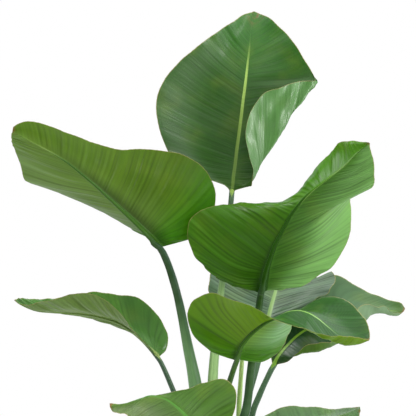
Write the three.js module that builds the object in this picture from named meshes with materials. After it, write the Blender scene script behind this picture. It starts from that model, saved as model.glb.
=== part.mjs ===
// A young potted bird of paradise: nine broad leaves on channelled stalks, one rolled young leaf,
// three short crowns, soil and a plain tapered pot.
// Millimetres, +Z up. The origin is the centre of the pot's underside, and the front view looks along +Y.
import * as THREE from 'three';

// ---- driving dimensions ------------------------------------------------------------------------
const GAP = 0.3;

const POT = {
  height: 270,
  rimRadius: 150,
  rimHeight: 26,
  rimRound: 5,
  rimSteps: 4,
  bandStep: 5,
  bandSlope: 2,
  lipBevel: 2,
  wall: 7,
  floor: 12,
  footRadius: 108,
  footChamfer: 3,
  segments: 64,
};
const SOIL = { top: 245, edgeDrop: 4, levelRadius: 86, wallClearance: 2 * GAP, segments: 48 };

// A crown's side bulges: each level is a share of its height and of its half widths.
const CROWN = {
  height: 22,
  segments: 28,
  lobes: 3,
  lobeDepth: 0.05,
  levels: [[0, 0.97], [0.35, 1.03], [0.75, 1], [1, 0.93]],
};

const BLADE = { alongSteps: 22, halfSteps: 4, thickness: 1.8, marginThickness: 1, tipEnd: 0.99 };
const STALK = { sides: 12, steps: 13, channelDepth: 0.2, channelWidth: 0.6 };

// ---- the front view ----------------------------------------------------------------------------
// A leaf point is [across, down, depth]. Across and down count 2 mm squares of the front view at the
// pot's axis, from its upper left corner, and depth is in millimetres behind that axis. The view is
// seen from VIEW.range in front of the axis, so a nearer point is a little larger in it.
const VIEW = { centre: 208, square: 2, range: 3200, x: -24, z: 1029 };

function seen([across, down, depth]) {
  const square = VIEW.square * (VIEW.range + depth) / VIEW.range;
  return new THREE.Vector3(
    VIEW.x + (across - VIEW.centre) * square,
    depth,
    VIEW.z + (VIEW.centre - down) * square,
  );
}

// ---- leaves ------------------------------------------------------------------------------------
// A blade is a list of rows from its base to its tip. A row is its left margin, left middle, midrib,
// right middle and right margin, with the upper face towards the viewer when the base is below.
// BOW stands for a middle that only bows out of the straight line, by the leaf's own bows: a share of
// the half's width, towards the underside when negative.
// A stalk runs from its foot on the crown, [x, y, radius] in millimetres, through [across, down, depth,
// radius] points to the blade's base. The last point is the base itself.
const BOW = null;

const LEAVES = {
  top: {
    bows: [-0.1, -0.08],
    foot: [-22, 36, 13],
    stalk: [
      [212, 520, 30, 12.5], [211, 450, 20, 11.5], [212.8, 380, 8, 10.2], [216.5, 335, 10, 8.4],
      [221.5, 288, 16, 6.8], [227.5, 238, 26, 6], [232, 191, 37, 5.4],
    ],
    rows: [
      [[230, 190.5, 36], BOW, [232, 191, 37], BOW, [234, 190.5, 36]],
      [[225, 185.5, 34.5], BOW, [232, 189.5, 37.5], BOW, [245, 187.5, 34]],
      [[221, 183, 33], BOW, [232.3, 188.5, 37.5], BOW, [249.5, 186.5, 31.5]],
      [[218.5, 182, 32.5], BOW, [232.5, 188, 37.5], BOW, [250.5, 186, 31]],
      [[215, 181.5, 31], BOW, [232.5, 187, 38], BOW, [252.5, 184, 28]],
      [[208, 180, 29], BOW, [232.8, 185.5, 38], [251.5, 181.5, 34], [252, 168, 16]],
      [[199.5, 178.5, 26.5], BOW, [233, 183.5, 38], [254, 178, 34], [246.5, 145, 6]],
      [[190, 175, 24], BOW, [233.3, 181, 38.5], [256.5, 173.5, 34], [246.5, 124, 0]],
      [[180.5, 168, 21], BOW, [233.5, 177, 39], [259.3, 168.5, 34.5], [255, 104.5, 1]],
      [[172, 158.5, 18], BOW, [234.2, 172, 40], [262, 163, 35], [264, 93.5, 5]],
      [[161, 135, 14], BOW, [235.5, 162, 42], [271, 149, 36], [278, 87.5, 13.5]],
      [[156, 112, 13], BOW, [237, 149, 44], [281, 132, 37], [290.5, 83.5, 24.5]],
      [[158.5, 91, 16], BOW, [239, 134, 46], [291, 115.5, 39], [301, 81, 34]],
      [[169, 73, 22], BOW, [241, 118, 49], [301, 100.5, 43], [309.5, 80.5, 42]],
      [[183, 58, 30], BOW, [243, 101, 52], [310.5, 87.5, 48], [315, 80, 48.5]],
      [[197, 46.5, 40], BOW, [245, 86, 56], [308.5, 80.8, 51], [313, 73.5, 52]],
      [[208, 38, 50], BOW, [246.3, 75, 60], [284, 70, 58], [304.5, 59, 55.5]],
      [[219, 30.5, 62], BOW, [247.8, 62, 66], BOW, [293, 41, 62.5]],
      [[231, 22.5, 76], BOW, [249.5, 48, 74], BOW, [281.5, 28.5, 73]],
      [[243, 14.8, 96], BOW, [251.3, 31, 88], BOW, [269, 17.5, 90]],
      [[254, 11, 112], BOW, [254, 11, 112], BOW, [254, 11, 112]],
    ],
  },
  left: {
    bows: [-0.1, -0.03],
    foot: [-40, 6, 15],
    stalk: [
      [200, 520, 0, 15.5], [199.5, 440, -4, 15], [195.6, 388, -10, 13], [187.5, 345, -18, 10],
      [178.5, 300, -26, 8], [169.3, 268, -30, 7.4], [160, 246, -30, 6.4],
    ],
    rows: [
      [[162.5, 247, -31], BOW, [160, 246, -30], BOW, [157, 244.5, -30]],
      [[197.5, 235.5, -14], BOW, [155.3, 241.8, -32], BOW, [149, 238, -16.5]],
      [[212, 218.5, -8], BOW, [154, 240.5, -33.5], BOW, [145.5, 236.5, -6]],
      [[216, 195, -5.5], BOW, [153, 239, -35], BOW, [141, 233.5, 5]],
      [[212, 181, -6.5], BOW, [151, 237, -37.5], BOW, [135, 230.5, 16]],
      [[203.5, 167.5, -10.5], BOW, [148.5, 234.8, -40], BOW, [128, 226.5, 28]],
      [[191, 158.5, -15.5], BOW, [144, 230.3, -46], BOW, [109.5, 215.5, 50.5]],
      [[175, 152.5, -22], BOW, [136.5, 223, -53], BOW, [86, 203, 65]],
      [[153.5, 149.5, -31], BOW, [126, 213.5, -62], BOW, [55.5, 191, 60.5]],
      [[143, 149, -35.5], BOW, [120, 208, -67.5], BOW, [40.5, 186, 45]],
      [[133, 149, -40], BOW, [113, 201.5, -73], BOW, [29.5, 182, 23.5]],
      [[122, 149.5, -45.5], BOW, [105.5, 195, -78.5], BOW, [23.5, 177, -2]],
      [[111.5, 148, -51], BOW, [98, 188, -84], BOW, [20, 164.5, -31.5]],
      [[89.5, 141, -65], BOW, [82, 174.5, -93], BOW, [14.5, 150, -70.5]],
      [[67, 132.5, -79], BOW, [66, 162, -100], BOW, [12, 142.5, -90]],
      [[45.5, 124.5, -94], BOW, [50, 152, -106], BOW, [11.5, 139, -99.5]],
      [[28.5, 121, -104], BOW, [34, 143.5, -111], BOW, [11, 137, -104]],
      [[18.5, 123.5, -110.5], BOW, [21, 136, -116], BOW, [11, 135.5, -108]],
      [[13, 127, -114], BOW, [12, 132, -116], BOW, [11.2, 134, -112]],
    ],
  },
  right: {
    bows: [-0.1, -0.12],
    foot: [16, 2, 12],
    stalk: [
      [231, 520, -16, 11.5], [239, 440, -36, 10], [247, 405, -46, 8.6], [251.5, 365, -56, 8],
      [256, 330, -64, 7.4], [261, 292, -70, 6.6],
    ],
    rows: [
      [[264, 290.5, -70], BOW, [261, 292, -70], BOW, [258, 292, -70]],
      [[293, 288, -56.5], [276, 288, -71], [262, 287.5, -73], [248.5, 289, -72], [227, 284, -60]],
      [[306.5, 284, -53], [281, 284.5, -73.5], [262.5, 285, -75], [240, 286, -70], [210, 273, -54.5]],
      [[320, 276, -51], [287.5, 281, -77.5], [263.3, 282, -77], [235.5, 280, -68.5], [198, 261, -50.5]],
      [[333, 266, -50], [295, 275, -83.5], [264, 278.5, -80], [232.5, 273.5, -67.5], [191, 249.5, -48.5]],
      [[342.5, 252.5, -50.5], [301.5, 267, -90.5], [265, 275, -83], [230, 266.5, -68], [187, 235, -48]],
      [[348.5, 238, -52.5], [307, 258.5, -98], [266, 271, -86], [231.5, 258.5, -69.5], [188.5, 223.5, -48]],
      [[351.5, 224, -56], [311, 250, -106], [267.3, 267, -89], [234.5, 249.5, -73], [194, 214.5, -48]],
      [[350.5, 203, -66], [316.5, 237, -122.5], [270.3, 258, -96], [241, 235, -82], [206, 208, -48]],
      [[350.5, 195, -88], [317, 226, -138], [274.3, 247, -106], [247, 224.5, -89], [218.5, 205, -49.5]],
      [[353, 192.5, -108], [320.5, 219.5, -145], [277, 241.5, -110], [251, 220, -93], [225.5, 204, -50.5]],
      [[359, 190.5, -132.5], [325, 213, -152], [280.5, 235, -115], [256.5, 214.5, -97.5],
        [233, 203.5, -51.5]],
      [[367, 189, -152], [330, 207.5, -158], [285, 226.5, -122], [263, 210, -102], [241, 203, -53]],
      [[373, 186, -167], [336, 202.5, -164], [290, 217, -130], [270, 206.5, -106], [249, 203, -54]],
      [[374.5, 183, -173.5], [341, 197, -169], [296.5, 208, -138], [279.5, 204, -109], [264, 203, -57]],
      [[375, 176.5, -180], [345, 191, -173], [303, 200, -146], [288.5, 200.5, -113.5], [275, 203, -60]],
      [[375, 172, -183], [348, 185, -177], [309.5, 193.5, -152.5], [300, 192.5, -121.5],
        [290, 198.5, -67.5]],
      [[374.5, 167, -186], [350, 179, -182], [316, 188, -158], [309.5, 182, -129.5], [305.5, 181, -82]],
      [[373.5, 160, -189.5], [354, 171, -185], [330, 177.5, -169], [329, 163, -144.5],
        [328, 154.5, -118.5]],
      [[372.5, 155, -192], [359, 164, -188], [344, 166.5, -178], [344, 151, -160.5], [341.5, 142, -148.5]],
      [[371.5, 150, -194], BOW, [356, 154.5, -186], [350.5, 144.5, -173.5], [350.5, 140.5, -166.5]],
      [[370.5, 146, -195.5], BOW, [364.5, 147, -192], BOW, [360, 141.5, -183.5]],
      [[370, 143, -197], BOW, [369.3, 142.3, -198], BOW, [366, 142, -194]],
    ],
  },
  low_left: {
    bows: [-0.05, -0.12],
    foot: [-56, 34, 12],
    stalk: [
      [194, 530, 38, 11.5], [190.5, 460, 40, 9], [184.5, 418, 42, 6.5], [173, 390, 46, 5.4],
      [165, 371, 48, 5], [157.5, 355.5, 50, 4.6],
    ],
    rows: [
      [[155, 353.5, 48], BOW, [157.5, 355.5, 50], BOW, [160, 356.5, 52]],
      [[152.5, 351, 43], BOW, [157, 355, 50], BOW, [166.5, 349, 61.5]],
      [[150, 348.5, 38], BOW, [156, 353.8, 50], BOW, [168, 335, 79.5]],
      [[147.5, 345.5, 32.5], BOW, [155, 352.5, 50], BOW, [157.5, 314.5, 95.5]],
      [[144, 342, 26], BOW, [153.5, 350.5, 50], BOW, [140, 298.5, 105]],
      [[139.5, 336.5, 17], BOW, [151.5, 348.5, 50], BOW, [129, 295.5, 108]],
      [[134, 330, 8], BOW, [149, 346, 50], BOW, [117, 294.5, 110]],
      [[122, 316, -8], BOW, [141.5, 338.5, 48], BOW, [95.5, 291.5, 107.5]],
      [[107, 301, -22], BOW, [131, 330, 45], BOW, [77.5, 294.5, 98.5]],
      [[91, 293.8, -33], BOW, [118, 322.5, 42], BOW, [62, 297.5, 85]],
      [[73, 294.5, -36], BOW, [103, 317.7, 38], BOW, [48.5, 298.5, 71]],
      [[56, 297.5, -28], BOW, [87, 314.5, 34], BOW, [35.5, 299, 56.5]],
      [[41, 302, -15], BOW, [70, 313, 30], BOW, [26, 298.5, 44]],
      [[31, 304.8, -3], BOW, [54, 312.8, 26], BOW, [20.5, 298, 34.5]],
      [[22, 304.5, 8], BOW, [38, 311.5, 20], BOW, [17.5, 298, 26.5]],
      [[17, 302.5, 11], BOW, [25, 307, 15], BOW, [15.5, 299, 18.5]],
      [[14, 300, 12], BOW, [14, 300, 12], BOW, [14, 300, 12]],
    ],
  },
  centre: {
    bows: [-0.12, -0.1],
    foot: [-6, -36, 11.5],
    stalk: [
      [213, 530, -56, 11], [215, 460, -76, 9], [221, 410, -98, 6.6], [230.5, 379, -120, 5.6],
      [237, 359.5, -142, 5],
    ],
    rows: [
      [[240, 358.5, -142], BOW, [237, 359.5, -142], BOW, [234, 360, -142]],
      [[260.5, 362, -121], BOW, [237.5, 357, -144], BOW, [222.5, 356, -137]],
      [[277.5, 354, -106.5], BOW, [238.3, 354, -146], BOW, [208, 349, -132.5]],
      [[283.5, 346.5, -104], BOW, [239.5, 351, -148.5], [219.5, 347, -148], [193, 335, -133]],
      [[286, 340.5, -107], BOW, [240.5, 348.5, -151], [214, 334.5, -146], [187, 317.5, -142.5]],
      [[287, 337.5, -109.5], BOW, [241.5, 346, -153.5], [212.5, 327.5, -151.5], [189, 307, -152]],
      [[288, 334.5, -113.5], BOW, [243, 343.7, -156], [213.5, 321, -159.5], [195.5, 298.5, -164]],
      [[289.5, 331, -119], BOW, [246.5, 339, -163], [221, 312.5, -173.5], [211.5, 292.5, -186.5]],
      [[291.5, 327, -124.5], BOW, [251, 334, -172], [231, 310, -190], [226, 296.5, -206]],
      [[293.5, 321.5, -130.5], BOW, [257, 328.7, -184], [244, 310.5, -207], [239.5, 302, -227]],
      [[297, 315.5, -136.5], BOW, [264.5, 323, -198], [254.5, 313.5, -223], [251.5, 307, -248.5]],
      [[301, 310, -143], BOW, [272.5, 318.5, -214], BOW, [261.5, 312, -268.5]],
      [[307, 306, -148.5], BOW, [281, 314.5, -229], BOW, [271, 318, -285]],
      [[315.5, 301, -154], BOW, [289.5, 311, -243], BOW, [282, 322.5, -305]],
      [[326.5, 297, -162.5], BOW, [299, 310.3, -256], [296.5, 322, -288], [294, 326.5, -322.5]],
      [[339.5, 297.5, -178], BOW, [308.5, 313, -266], [304.5, 326.5, -306.5], [304.5, 329, -328.5]],
      [[350, 303.5, -196], BOW, [318.5, 319, -273], [316, 333, -309], [316, 332.8, -332]],
      [[359.5, 311.3, -220], BOW, [328, 327, -279], [330, 340.5, -308], [331, 335.2, -330]],
      [[366.3, 321, -246], BOW, [339, 335.5, -283], [344, 345, -303], [346, 336.3, -320]],
      [[370, 331, -268], BOW, [354, 341, -285], [358, 344.3, -293], [359, 337.5, -304]],
      [[369.8, 339, -284], BOW, [369.5, 340.5, -285], BOW, [369, 339.5, -287]],
    ],
  },
  back: {
    bows: [-0.08, -0.08],
    foot: [14, 50, 11.5],
    stalk: [
      [227, 530, 52, 11], [233, 460, 50, 9], [243, 416, 48, 6.8], [258, 363, 42, 5.6],
      [265, 330, 41, 5.2],
    ],
    rows: [
      [[262, 331, 40], BOW, [265, 330, 41], BOW, [268, 331, 40]],
      [[240, 325, 48], BOW, [266.3, 326.5, 44], BOW, [286, 323, 34]],
      [[218, 309, 58], BOW, [267.6, 322, 49], BOW, [304, 312, 22]],
      [[208.5, 291, 72], BOW, [269.2, 316, 57], [298, 305, 36], [317, 299, 10]],
      [[209.5, 274, 90], BOW, [271.3, 307, 68], [304, 297, 44], [330, 291.5, 5]],
      [[218, 260, 112], BOW, [274, 297.5, 84], [307, 289, 58], [334.5, 282, 22]],
      [[230, 248, 136], BOW, [277, 286.5, 104], [308, 281, 82], [333.3, 272, 52]],
      [[243, 240, 160], BOW, [280.3, 275, 126], BOW, [323, 282.5, 80]],
      [[258, 234, 182], BOW, [283.7, 262, 150], BOW, [316, 274, 104]],
      [[271, 230, 202], BOW, [287.2, 249.5, 176], BOW, [310, 256, 150]],
      [[283, 229, 216], BOW, [290.3, 239, 200], BOW, [302, 240, 192]],
      [[293, 231, 224], BOW, [293, 231, 225], BOW, [293, 231, 224]],
    ],
  },
  right_back: {
    bows: [-0.08, -0.08],
    foot: [42, 40, 12],
    stalk: [
      [241, 530, 42, 11], [245, 470, 38, 9.5], [251, 420, 34, 6.8], [260, 394, 32, 6],
      [274, 364, 30, 5.4],
    ],
    rows: [
      [[272, 363.5, 30], BOW, [274, 364, 30], BOW, [276.5, 365, 30]],
      [[270, 353, 40], BOW, [276.3, 359, 30.5], BOW, [288, 361.5, 14]],
      [[270, 338, 56], BOW, [281, 352.5, 32], [292, 357, 6], [296, 354.5, -4]],
      [[275, 321, 76], BOW, [288.5, 344, 36], [304, 353.3, -4], [306, 345.5, -20]],
      [[287, 306, 94], BOW, [298, 335, 41], [318, 350.6, -8], [319, 342.5, -28]],
      [[303, 294, 110], BOW, [310, 327.5, 47], [332, 345.6, -8], [332, 341.5, -28]],
      [[320, 283, 122], BOW, [324, 321.5, 54], [346, 338, -4], [344, 333, -26]],
      [[335.5, 275, 128], BOW, [339, 316.5, 61], [358, 328, 4], [353, 319, -18]],
      [[352, 283.5, 126], BOW, [354, 313.5, 67], [367, 319.5, 16], [359, 307, -2]],
      [[368, 291.5, 120], BOW, [368, 311.5, 72], [374, 314, 32], [368, 304, 12]],
      [[384, 298, 110], BOW, [380, 311, 76], [383, 313.3, 46], [377.5, 307, 26]],
      [[395, 301, 102], BOW, [391, 311, 78], [391, 315.3, 56], [385, 306, 40]],
      [[401.5, 303, 92], BOW, [399, 311, 77], [398, 315.5, 64], [392, 312.5, 52]],
      [[405, 308, 76], BOW, [405, 309, 75], BOW, [402.5, 312.5, 68]],
    ],
  },
  front_left: {
    bows: [-0.1, -0.08],
    foot: [-30, -50, 12],
    stalk: [
      [205, 550, -66, 11], [204.5, 500, -100, 8.6], [205.5, 465, -132, 6.6], [205, 443, -150, 5.6],
    ],
    rows: [
      [[203, 445, -150], BOW, [205, 443, -150], BOW, [207.5, 441.5, -150]],
      [[192, 448.5, -152], BOW, [202, 439, -156], BOW, [222, 434, -146]],
      [[178, 448, -162], BOW, [198.5, 433, -161], BOW, [233, 416, -143]],
      [[165, 445, -177], BOW, [194.5, 427.5, -167], BOW, [237, 399, -144]],
      [[154, 440, -193], BOW, [189.5, 421, -173], BOW, [233, 384.5, -151]],
      [[145, 433, -211], BOW, [183.5, 413.5, -181], BOW, [222.5, 378.3, -162]],
      [[138, 426, -227], BOW, [176, 406.5, -191], BOW, [207, 382.7, -176]],
      [[132, 420, -239], BOW, [166.5, 399.7, -202], BOW, [191, 387.5, -188]],
      [[127, 416, -246], BOW, [155, 396.3, -214], BOW, [172, 392.3, -199]],
      [[121, 413.8, -248], BOW, [143, 397.5, -224], BOW, [154, 396.8, -210]],
      [[117, 413, -246], BOW, [127.5, 402.8, -231], BOW, [136, 399.8, -220]],
      [[114.5, 412.5, -243], BOW, [117, 404.6, -234], BOW, [122.5, 404, -226]],
      [[112.3, 411.5, -240], BOW, [109.6, 406.5, -237], BOW, [109.3, 402.8, -232]],
    ],
  },
  front_right: {
    bows: [-0.1, -0.1],
    foot: [20, -44, 11.5],
    stalk: [
      [238, 560, -50, 11], [246, 520, -54, 8.6], [253, 485, -57, 6.4], [257, 463, -60, 5.4],
    ],
    rows: [
      [[255, 461, -60], BOW, [257, 463, -60], BOW, [259.5, 464, -61]],
      [[250, 451, -54], BOW, [260, 458, -63], BOW, [272, 465, -74]],
      [[252, 436, -46], BOW, [266.5, 449.5, -69], BOW, [286, 464.5, -90]],
      [[259, 421.5, -38], BOW, [275, 441.5, -75], BOW, [301, 461, -106]],
      [[272, 411, -31], BOW, [286, 434, -83], BOW, [317, 454.5, -117]],
      [[289, 406, -28], BOW, [299, 428.5, -90], BOW, [331, 446.5, -124]],
      [[308, 406.5, -32], BOW, [313, 423.5, -97], BOW, [343, 437, -127]],
      [[327, 408, -43], BOW, [328, 419, -103], BOW, [352.5, 428, -124]],
      [[345, 408, -64], BOW, [343, 414.5, -106], BOW, [358.5, 420, -118]],
      [[360, 406.5, -100], BOW, [360.5, 408, -104], BOW, [360.7, 411, -106]],
    ],
  },
};

// The young leaf is still rolled up. Its route is like a stalk's, and it ends in a point.
const YOUNG_LEAF = {
  foot: [30, 22, 6.5],
  route: [[236.5, 500, 12, 6], [238.7, 416, 0, 5], [242.3, 358, -8, 4], [244, 333, -10, 1.2]],
  seamFacing: new THREE.Vector3(0, -1, 0),
  steps: 12,
};

// Each crown is the short stump that a group of stalks grows from: its middle, its half widths and
// the turn of its three lobes.
const CROWNS = {
  left: { middle: [-41, 24], halfWidths: [31, 32], turn: 0.4 },
  right: { middle: [28, 26], halfWidths: [29, 40], turn: 1.3 },
  front: { middle: [-5, -43], halfWidths: [42, 20], turn: 2.1 },
};

const LOOKS = {
  pot: { color: 0xaca9a2, roughness: 0.6 },
  soil: { color: 0x3b2c21, roughness: 1 },
  crown: { color: 0x8a9a5c, roughness: 0.7 },
  stalk: { color: 0x5f8a55, roughness: 0.5 },
  blade: { color: 0x4a7a45, roughness: 0.4 },
  youngLeaf: { color: 0x86a85f, roughness: 0.5 },
};

// ---- shared geometry ---------------------------------------------------------------------------
function smooth(points) {
  return new THREE.CatmullRomCurve3(points, false, 'catmullrom', 0.5);
}

function mesh(name, geometry, look) {
  geometry.computeVertexNormals();
  const made = new THREE.Mesh(geometry, new THREE.MeshStandardMaterial({ ...look, metalness: 0 }));
  made.name = name;
  return made;
}

function geometryFrom(points, triangles) {
  const geometry = new THREE.BufferGeometry();
  geometry.setAttribute('position', new THREE.Float32BufferAttribute(points.flatMap((p) => p.toArray()), 3));
  geometry.setIndex(triangles);
  return geometry;
}

// Rings of equal length, each counter-clockwise about the route, joined into one closed body.
function loft(rings) {
  const sides = rings[0].length;
  const points = rings.flat();
  const triangles = [];
  for (let ring = 0; ring + 1 < rings.length; ring += 1) {
    for (let side = 0; side < sides; side += 1) {
      const next = (side + 1) % sides;
      const [a, b] = [ring * sides + side, ring * sides + next];
      const [c, d] = [b + sides, a + sides];
      triangles.push(a, b, c, a, c, d);
    }
  }
  const middle = (ring) => ring.reduce((sum, p) => sum.add(p), new THREE.Vector3()).divideScalar(sides);
  const firstMiddle = points.push(middle(rings[0])) - 1;
  const lastMiddle = points.push(middle(rings.at(-1))) - 1;
  const last = (rings.length - 1) * sides;
  for (let side = 0; side < sides; side += 1) {
    const next = (side + 1) % sides;
    triangles.push(firstMiddle, next, side, lastMiddle, last + side, last + next);
  }
  return geometryFrom(points, triangles);
}

// ---- stalks ------------------------------------------------------------------------------------
// A ring of a stalk, square to its route, with a shallow channel on the side that faces `facing`.
function stalkRing(centre, along, facing, radius) {
  const channelSide = facing.clone().addScaledVector(along, -facing.dot(along)).normalize();
  const across = new THREE.Vector3().crossVectors(along, channelSide);
  const ring = [];
  for (let side = 0; side < STALK.sides; side += 1) {
    const angle = 2 * Math.PI * side / STALK.sides;
    const fromChannel = Math.min(angle, 2 * Math.PI - angle) / STALK.channelWidth;
    const reach = radius * (1 - STALK.channelDepth * Math.exp(-fromChannel * fromChannel));
    ring.push(centre.clone()
      .addScaledVector(channelSide, reach * Math.cos(angle))
      .addScaledVector(across, reach * Math.sin(angle)));
  }
  return ring;
}

const UP = new THREE.Vector3(0, 0, 1);
const footHeight = SOIL.top + GAP + CROWN.height + GAP;

function routeCurve([footX, footY], route) {
  return smooth([new THREE.Vector3(footX, footY, footHeight), ...route.map(seen)]);
}

// The foot's ring is level, the others are square to the route, and the last stops short of its end.
function stalkGeometry(foot, route, facing, steps, endGap) {
  const curve = routeCurve(foot, route);
  const girth = smooth([foot[2], ...route.map((point) => point[3])].map((r) => new THREE.Vector3(r, 0, 0)));
  const rings = [];
  for (let step = 0; step <= steps; step += 1) {
    const t = step / steps;
    const along = step === 0 ? UP : curve.getTangent(t).normalize();
    const centre = curve.getPoint(t);
    if (step === steps) {
      centre.addScaledVector(along, -endGap);
    }
    rings.push(stalkRing(centre, along, facing, girth.getPoint(t).x));
  }
  return loft(rings);
}

// ---- blades ------------------------------------------------------------------------------------
function middlePoint(given, margin, midrib, along, sideSign, bow) {
  if (given !== BOW) {
    return seen(given);
  }
  const across = margin.clone().sub(midrib);
  const upperNormal = new THREE.Vector3().crossVectors(along, across).normalize().multiplyScalar(sideSign);
  return margin.clone().add(midrib).multiplyScalar(0.5).addScaledVector(upperNormal, bow * across.length());
}

// The five lines that run from base to tip: both margins, both middles and the midrib.
function bladeLines({ rows, bows }) {
  const midrib = rows.map((row) => seen(row[2]));
  const lines = [[], [], midrib, [], []];
  rows.forEach((row, index) => {
    const before = midrib[Math.max(index - 1, 0)];
    const after = midrib[Math.min(index + 1, rows.length - 1)];
    const along = after.clone().sub(before).normalize();
    const leftMargin = seen(row[0]);
    const rightMargin = seen(row[4]);
    lines[0].push(leftMargin);
    lines[1].push(middlePoint(row[1], leftMargin, midrib[index], along, 1, bows[0]));
    lines[3].push(middlePoint(row[3], rightMargin, midrib[index], along, -1, bows[1]));
    lines[4].push(rightMargin);
  });
  return lines;
}

// A grid over the blade: rows from base to tip, each from the left margin to the right margin.
function bladeGrid(leaf) {
  const curves = bladeLines(leaf).map(smooth);
  const grid = [];
  for (let step = 0; step <= BLADE.alongSteps; step += 1) {
    const t = BLADE.tipEnd * step / BLADE.alongSteps;
    const row = curves.map((curve) => curve.getPoint(t));
    const left = smooth(row.slice(0, 3)).getPoints(BLADE.halfSteps);
    const right = smooth(row.slice(2)).getPoints(BLADE.halfSteps);
    grid.push([...left, ...right.slice(1)]);
  }
  return grid;
}

function stalkEnd(leaf) {
  return routeCurve(leaf.foot, leaf.stalk).getTangent(1).normalize();
}

// The first row is squared up to the end of the stalk that carries the blade.
function seatOnStalk(grid, along, radius) {
  const last = grid[0].length - 1;
  const base = grid[0][last / 2].clone();
  const across = grid[1][0].clone().sub(grid[1][last]);
  across.addScaledVector(along, -across.dot(along)).normalize();
  for (let column = 0; column <= last; column += 1) {
    grid[0][column] = base.clone().addScaledVector(across, radius * (1 - 2 * column / last));
  }
  return new THREE.Vector3().crossVectors(along, across);
}

function upperNormals(grid, baseNormal) {
  const rows = grid.length - 1;
  const columns = grid[0].length - 1;
  return grid.map((row, r) => row.map((_, c) => {
    if (r === 0) {
      return baseNormal;
    }
    const along = grid[Math.min(r + 1, rows)][c].clone().sub(grid[r - 1][c]);
    const leftwards = row[Math.max(c - 1, 0)].clone().sub(row[Math.min(c + 1, columns)]);
    return new THREE.Vector3().crossVectors(along, leftwards).normalize();
  }));
}

function bladeGeometry(leaf) {
  const grid = bladeGrid(leaf);
  const rows = grid.length - 1;
  const columns = grid[0].length - 1;
  const baseRadius = leaf.stalk.at(-1)[3];
  const baseNormal = seatOnStalk(grid, stalkEnd(leaf), baseRadius);
  const normals = upperNormals(grid, baseNormal);
  const upper = [];
  const under = [];
  grid.forEach((row, r) => row.forEach((point, c) => {
    const fromMidrib = Math.abs(2 * c / columns - 1);
    const towardsTip = r / rows;
    const thickness = THREE.MathUtils.lerp(BLADE.thickness, BLADE.marginThickness, fromMidrib);
    const keel = fromMidrib === 0 ? baseRadius * (1 - towardsTip) : 0;
    upper.push(point.clone().addScaledVector(normals[r][c], thickness / 2));
    under.push(point.clone().addScaledVector(normals[r][c], -thickness / 2 - keel));
  }));
  return geometryFrom([...upper, ...under], closedSheet(rows, columns));
}

// Triangles of a sheet with an upper and an under face, closed along all four of its edges.
function closedSheet(rows, columns) {
  const width = columns + 1;
  const underFace = (rows + 1) * width;
  const triangles = [];
  const quad = (a, b, c, d) => triangles.push(a, b, c, a, c, d);
  for (let r = 0; r < rows; r += 1) {
    for (let c = 0; c < columns; c += 1) {
      const a = r * width + c;
      quad(a, a + 1, a + width + 1, a + width);
      quad(underFace + a, underFace + a + width, underFace + a + width + 1, underFace + a + 1);
    }
    const left = r * width;
    const right = left + columns;
    quad(left, left + width, underFace + left + width, underFace + left);
    quad(right + width, right, underFace + right, underFace + right + width);
  }
  for (let c = 0; c < columns; c += 1) {
    const tip = rows * width + c;
    quad(c, underFace + c, underFace + c + 1, c + 1);
    quad(tip + 1, underFace + tip + 1, underFace + tip, tip);
  }
  return triangles;
}

// The side of the stalk that its channel is on: the upper face's side at the blade's base.
function channelFacing(leaf) {
  return seatOnStalk(bladeGrid(leaf), stalkEnd(leaf), leaf.stalk.at(-1)[3]);
}

// ---- crowns, soil and pot ----------------------------------------------------------------------
function crownGeometry({ middle, halfWidths, turn }) {
  const bottom = SOIL.top + GAP;
  const rings = CROWN.levels.map(([height, spread]) => {
    const ring = [];
    for (let side = 0; side < CROWN.segments; side += 1) {
      const angle = 2 * Math.PI * side / CROWN.segments;
      const reach = spread * (1 + CROWN.lobeDepth * Math.cos(CROWN.lobes * angle + turn));
      ring.push(new THREE.Vector3(
        middle[0] + halfWidths[0] * reach * Math.cos(angle),
        middle[1] + halfWidths[1] * reach * Math.sin(angle),
        bottom + CROWN.height * height,
      ));
    }
    return ring;
  });
  return loft(rings);
}

function turned(outline, segments) {
  const profile = new THREE.LatheGeometry(outline.map(([r, z]) => new THREE.Vector2(r, z)), segments);
  return profile.rotateX(Math.PI / 2);
}

const potInside = {
  floorRadius: POT.footRadius - POT.wall,
  mouthRadius: POT.rimRadius - POT.bandStep - POT.wall,
};

function insideRadiusAt(height) {
  const t = (height - POT.floor) / (POT.height - POT.floor);
  return THREE.MathUtils.lerp(potInside.floorRadius, potInside.mouthRadius, t);
}

function potGeometry() {
  const bandFoot = POT.height - POT.rimHeight;
  const bodyTop = POT.rimRadius - POT.bandStep;
  const outline = [
    [0, 0],
    [POT.footRadius - POT.footChamfer, 0],
    [POT.footRadius, POT.footChamfer],
    [bodyTop, bandFoot],
    [POT.rimRadius, bandFoot + POT.bandSlope],
  ];
  const roundCentre = [POT.rimRadius - POT.rimRound, POT.height - POT.rimRound];
  for (let step = 0; step <= POT.rimSteps; step += 1) {
    const angle = Math.PI / 2 * step / POT.rimSteps;
    outline.push([
      roundCentre[0] + POT.rimRound * Math.cos(angle),
      roundCentre[1] + POT.rimRound * Math.sin(angle),
    ]);
  }
  outline.push(
    [potInside.mouthRadius + POT.lipBevel, POT.height],
    [potInside.mouthRadius, POT.height - POT.lipBevel],
    [potInside.floorRadius, POT.floor],
    [0, POT.floor],
  );
  return turned(outline, POT.segments);
}

function soilGeometry() {
  const bottom = POT.floor + GAP;
  const edgeTop = SOIL.top - SOIL.edgeDrop;
  return turned([
    [0, bottom],
    [insideRadiusAt(bottom) - SOIL.wallClearance, bottom],
    [insideRadiusAt(edgeTop) - SOIL.wallClearance, edgeTop],
    [SOIL.levelRadius, SOIL.top],
    [0, SOIL.top],
  ], SOIL.segments);
}

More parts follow.
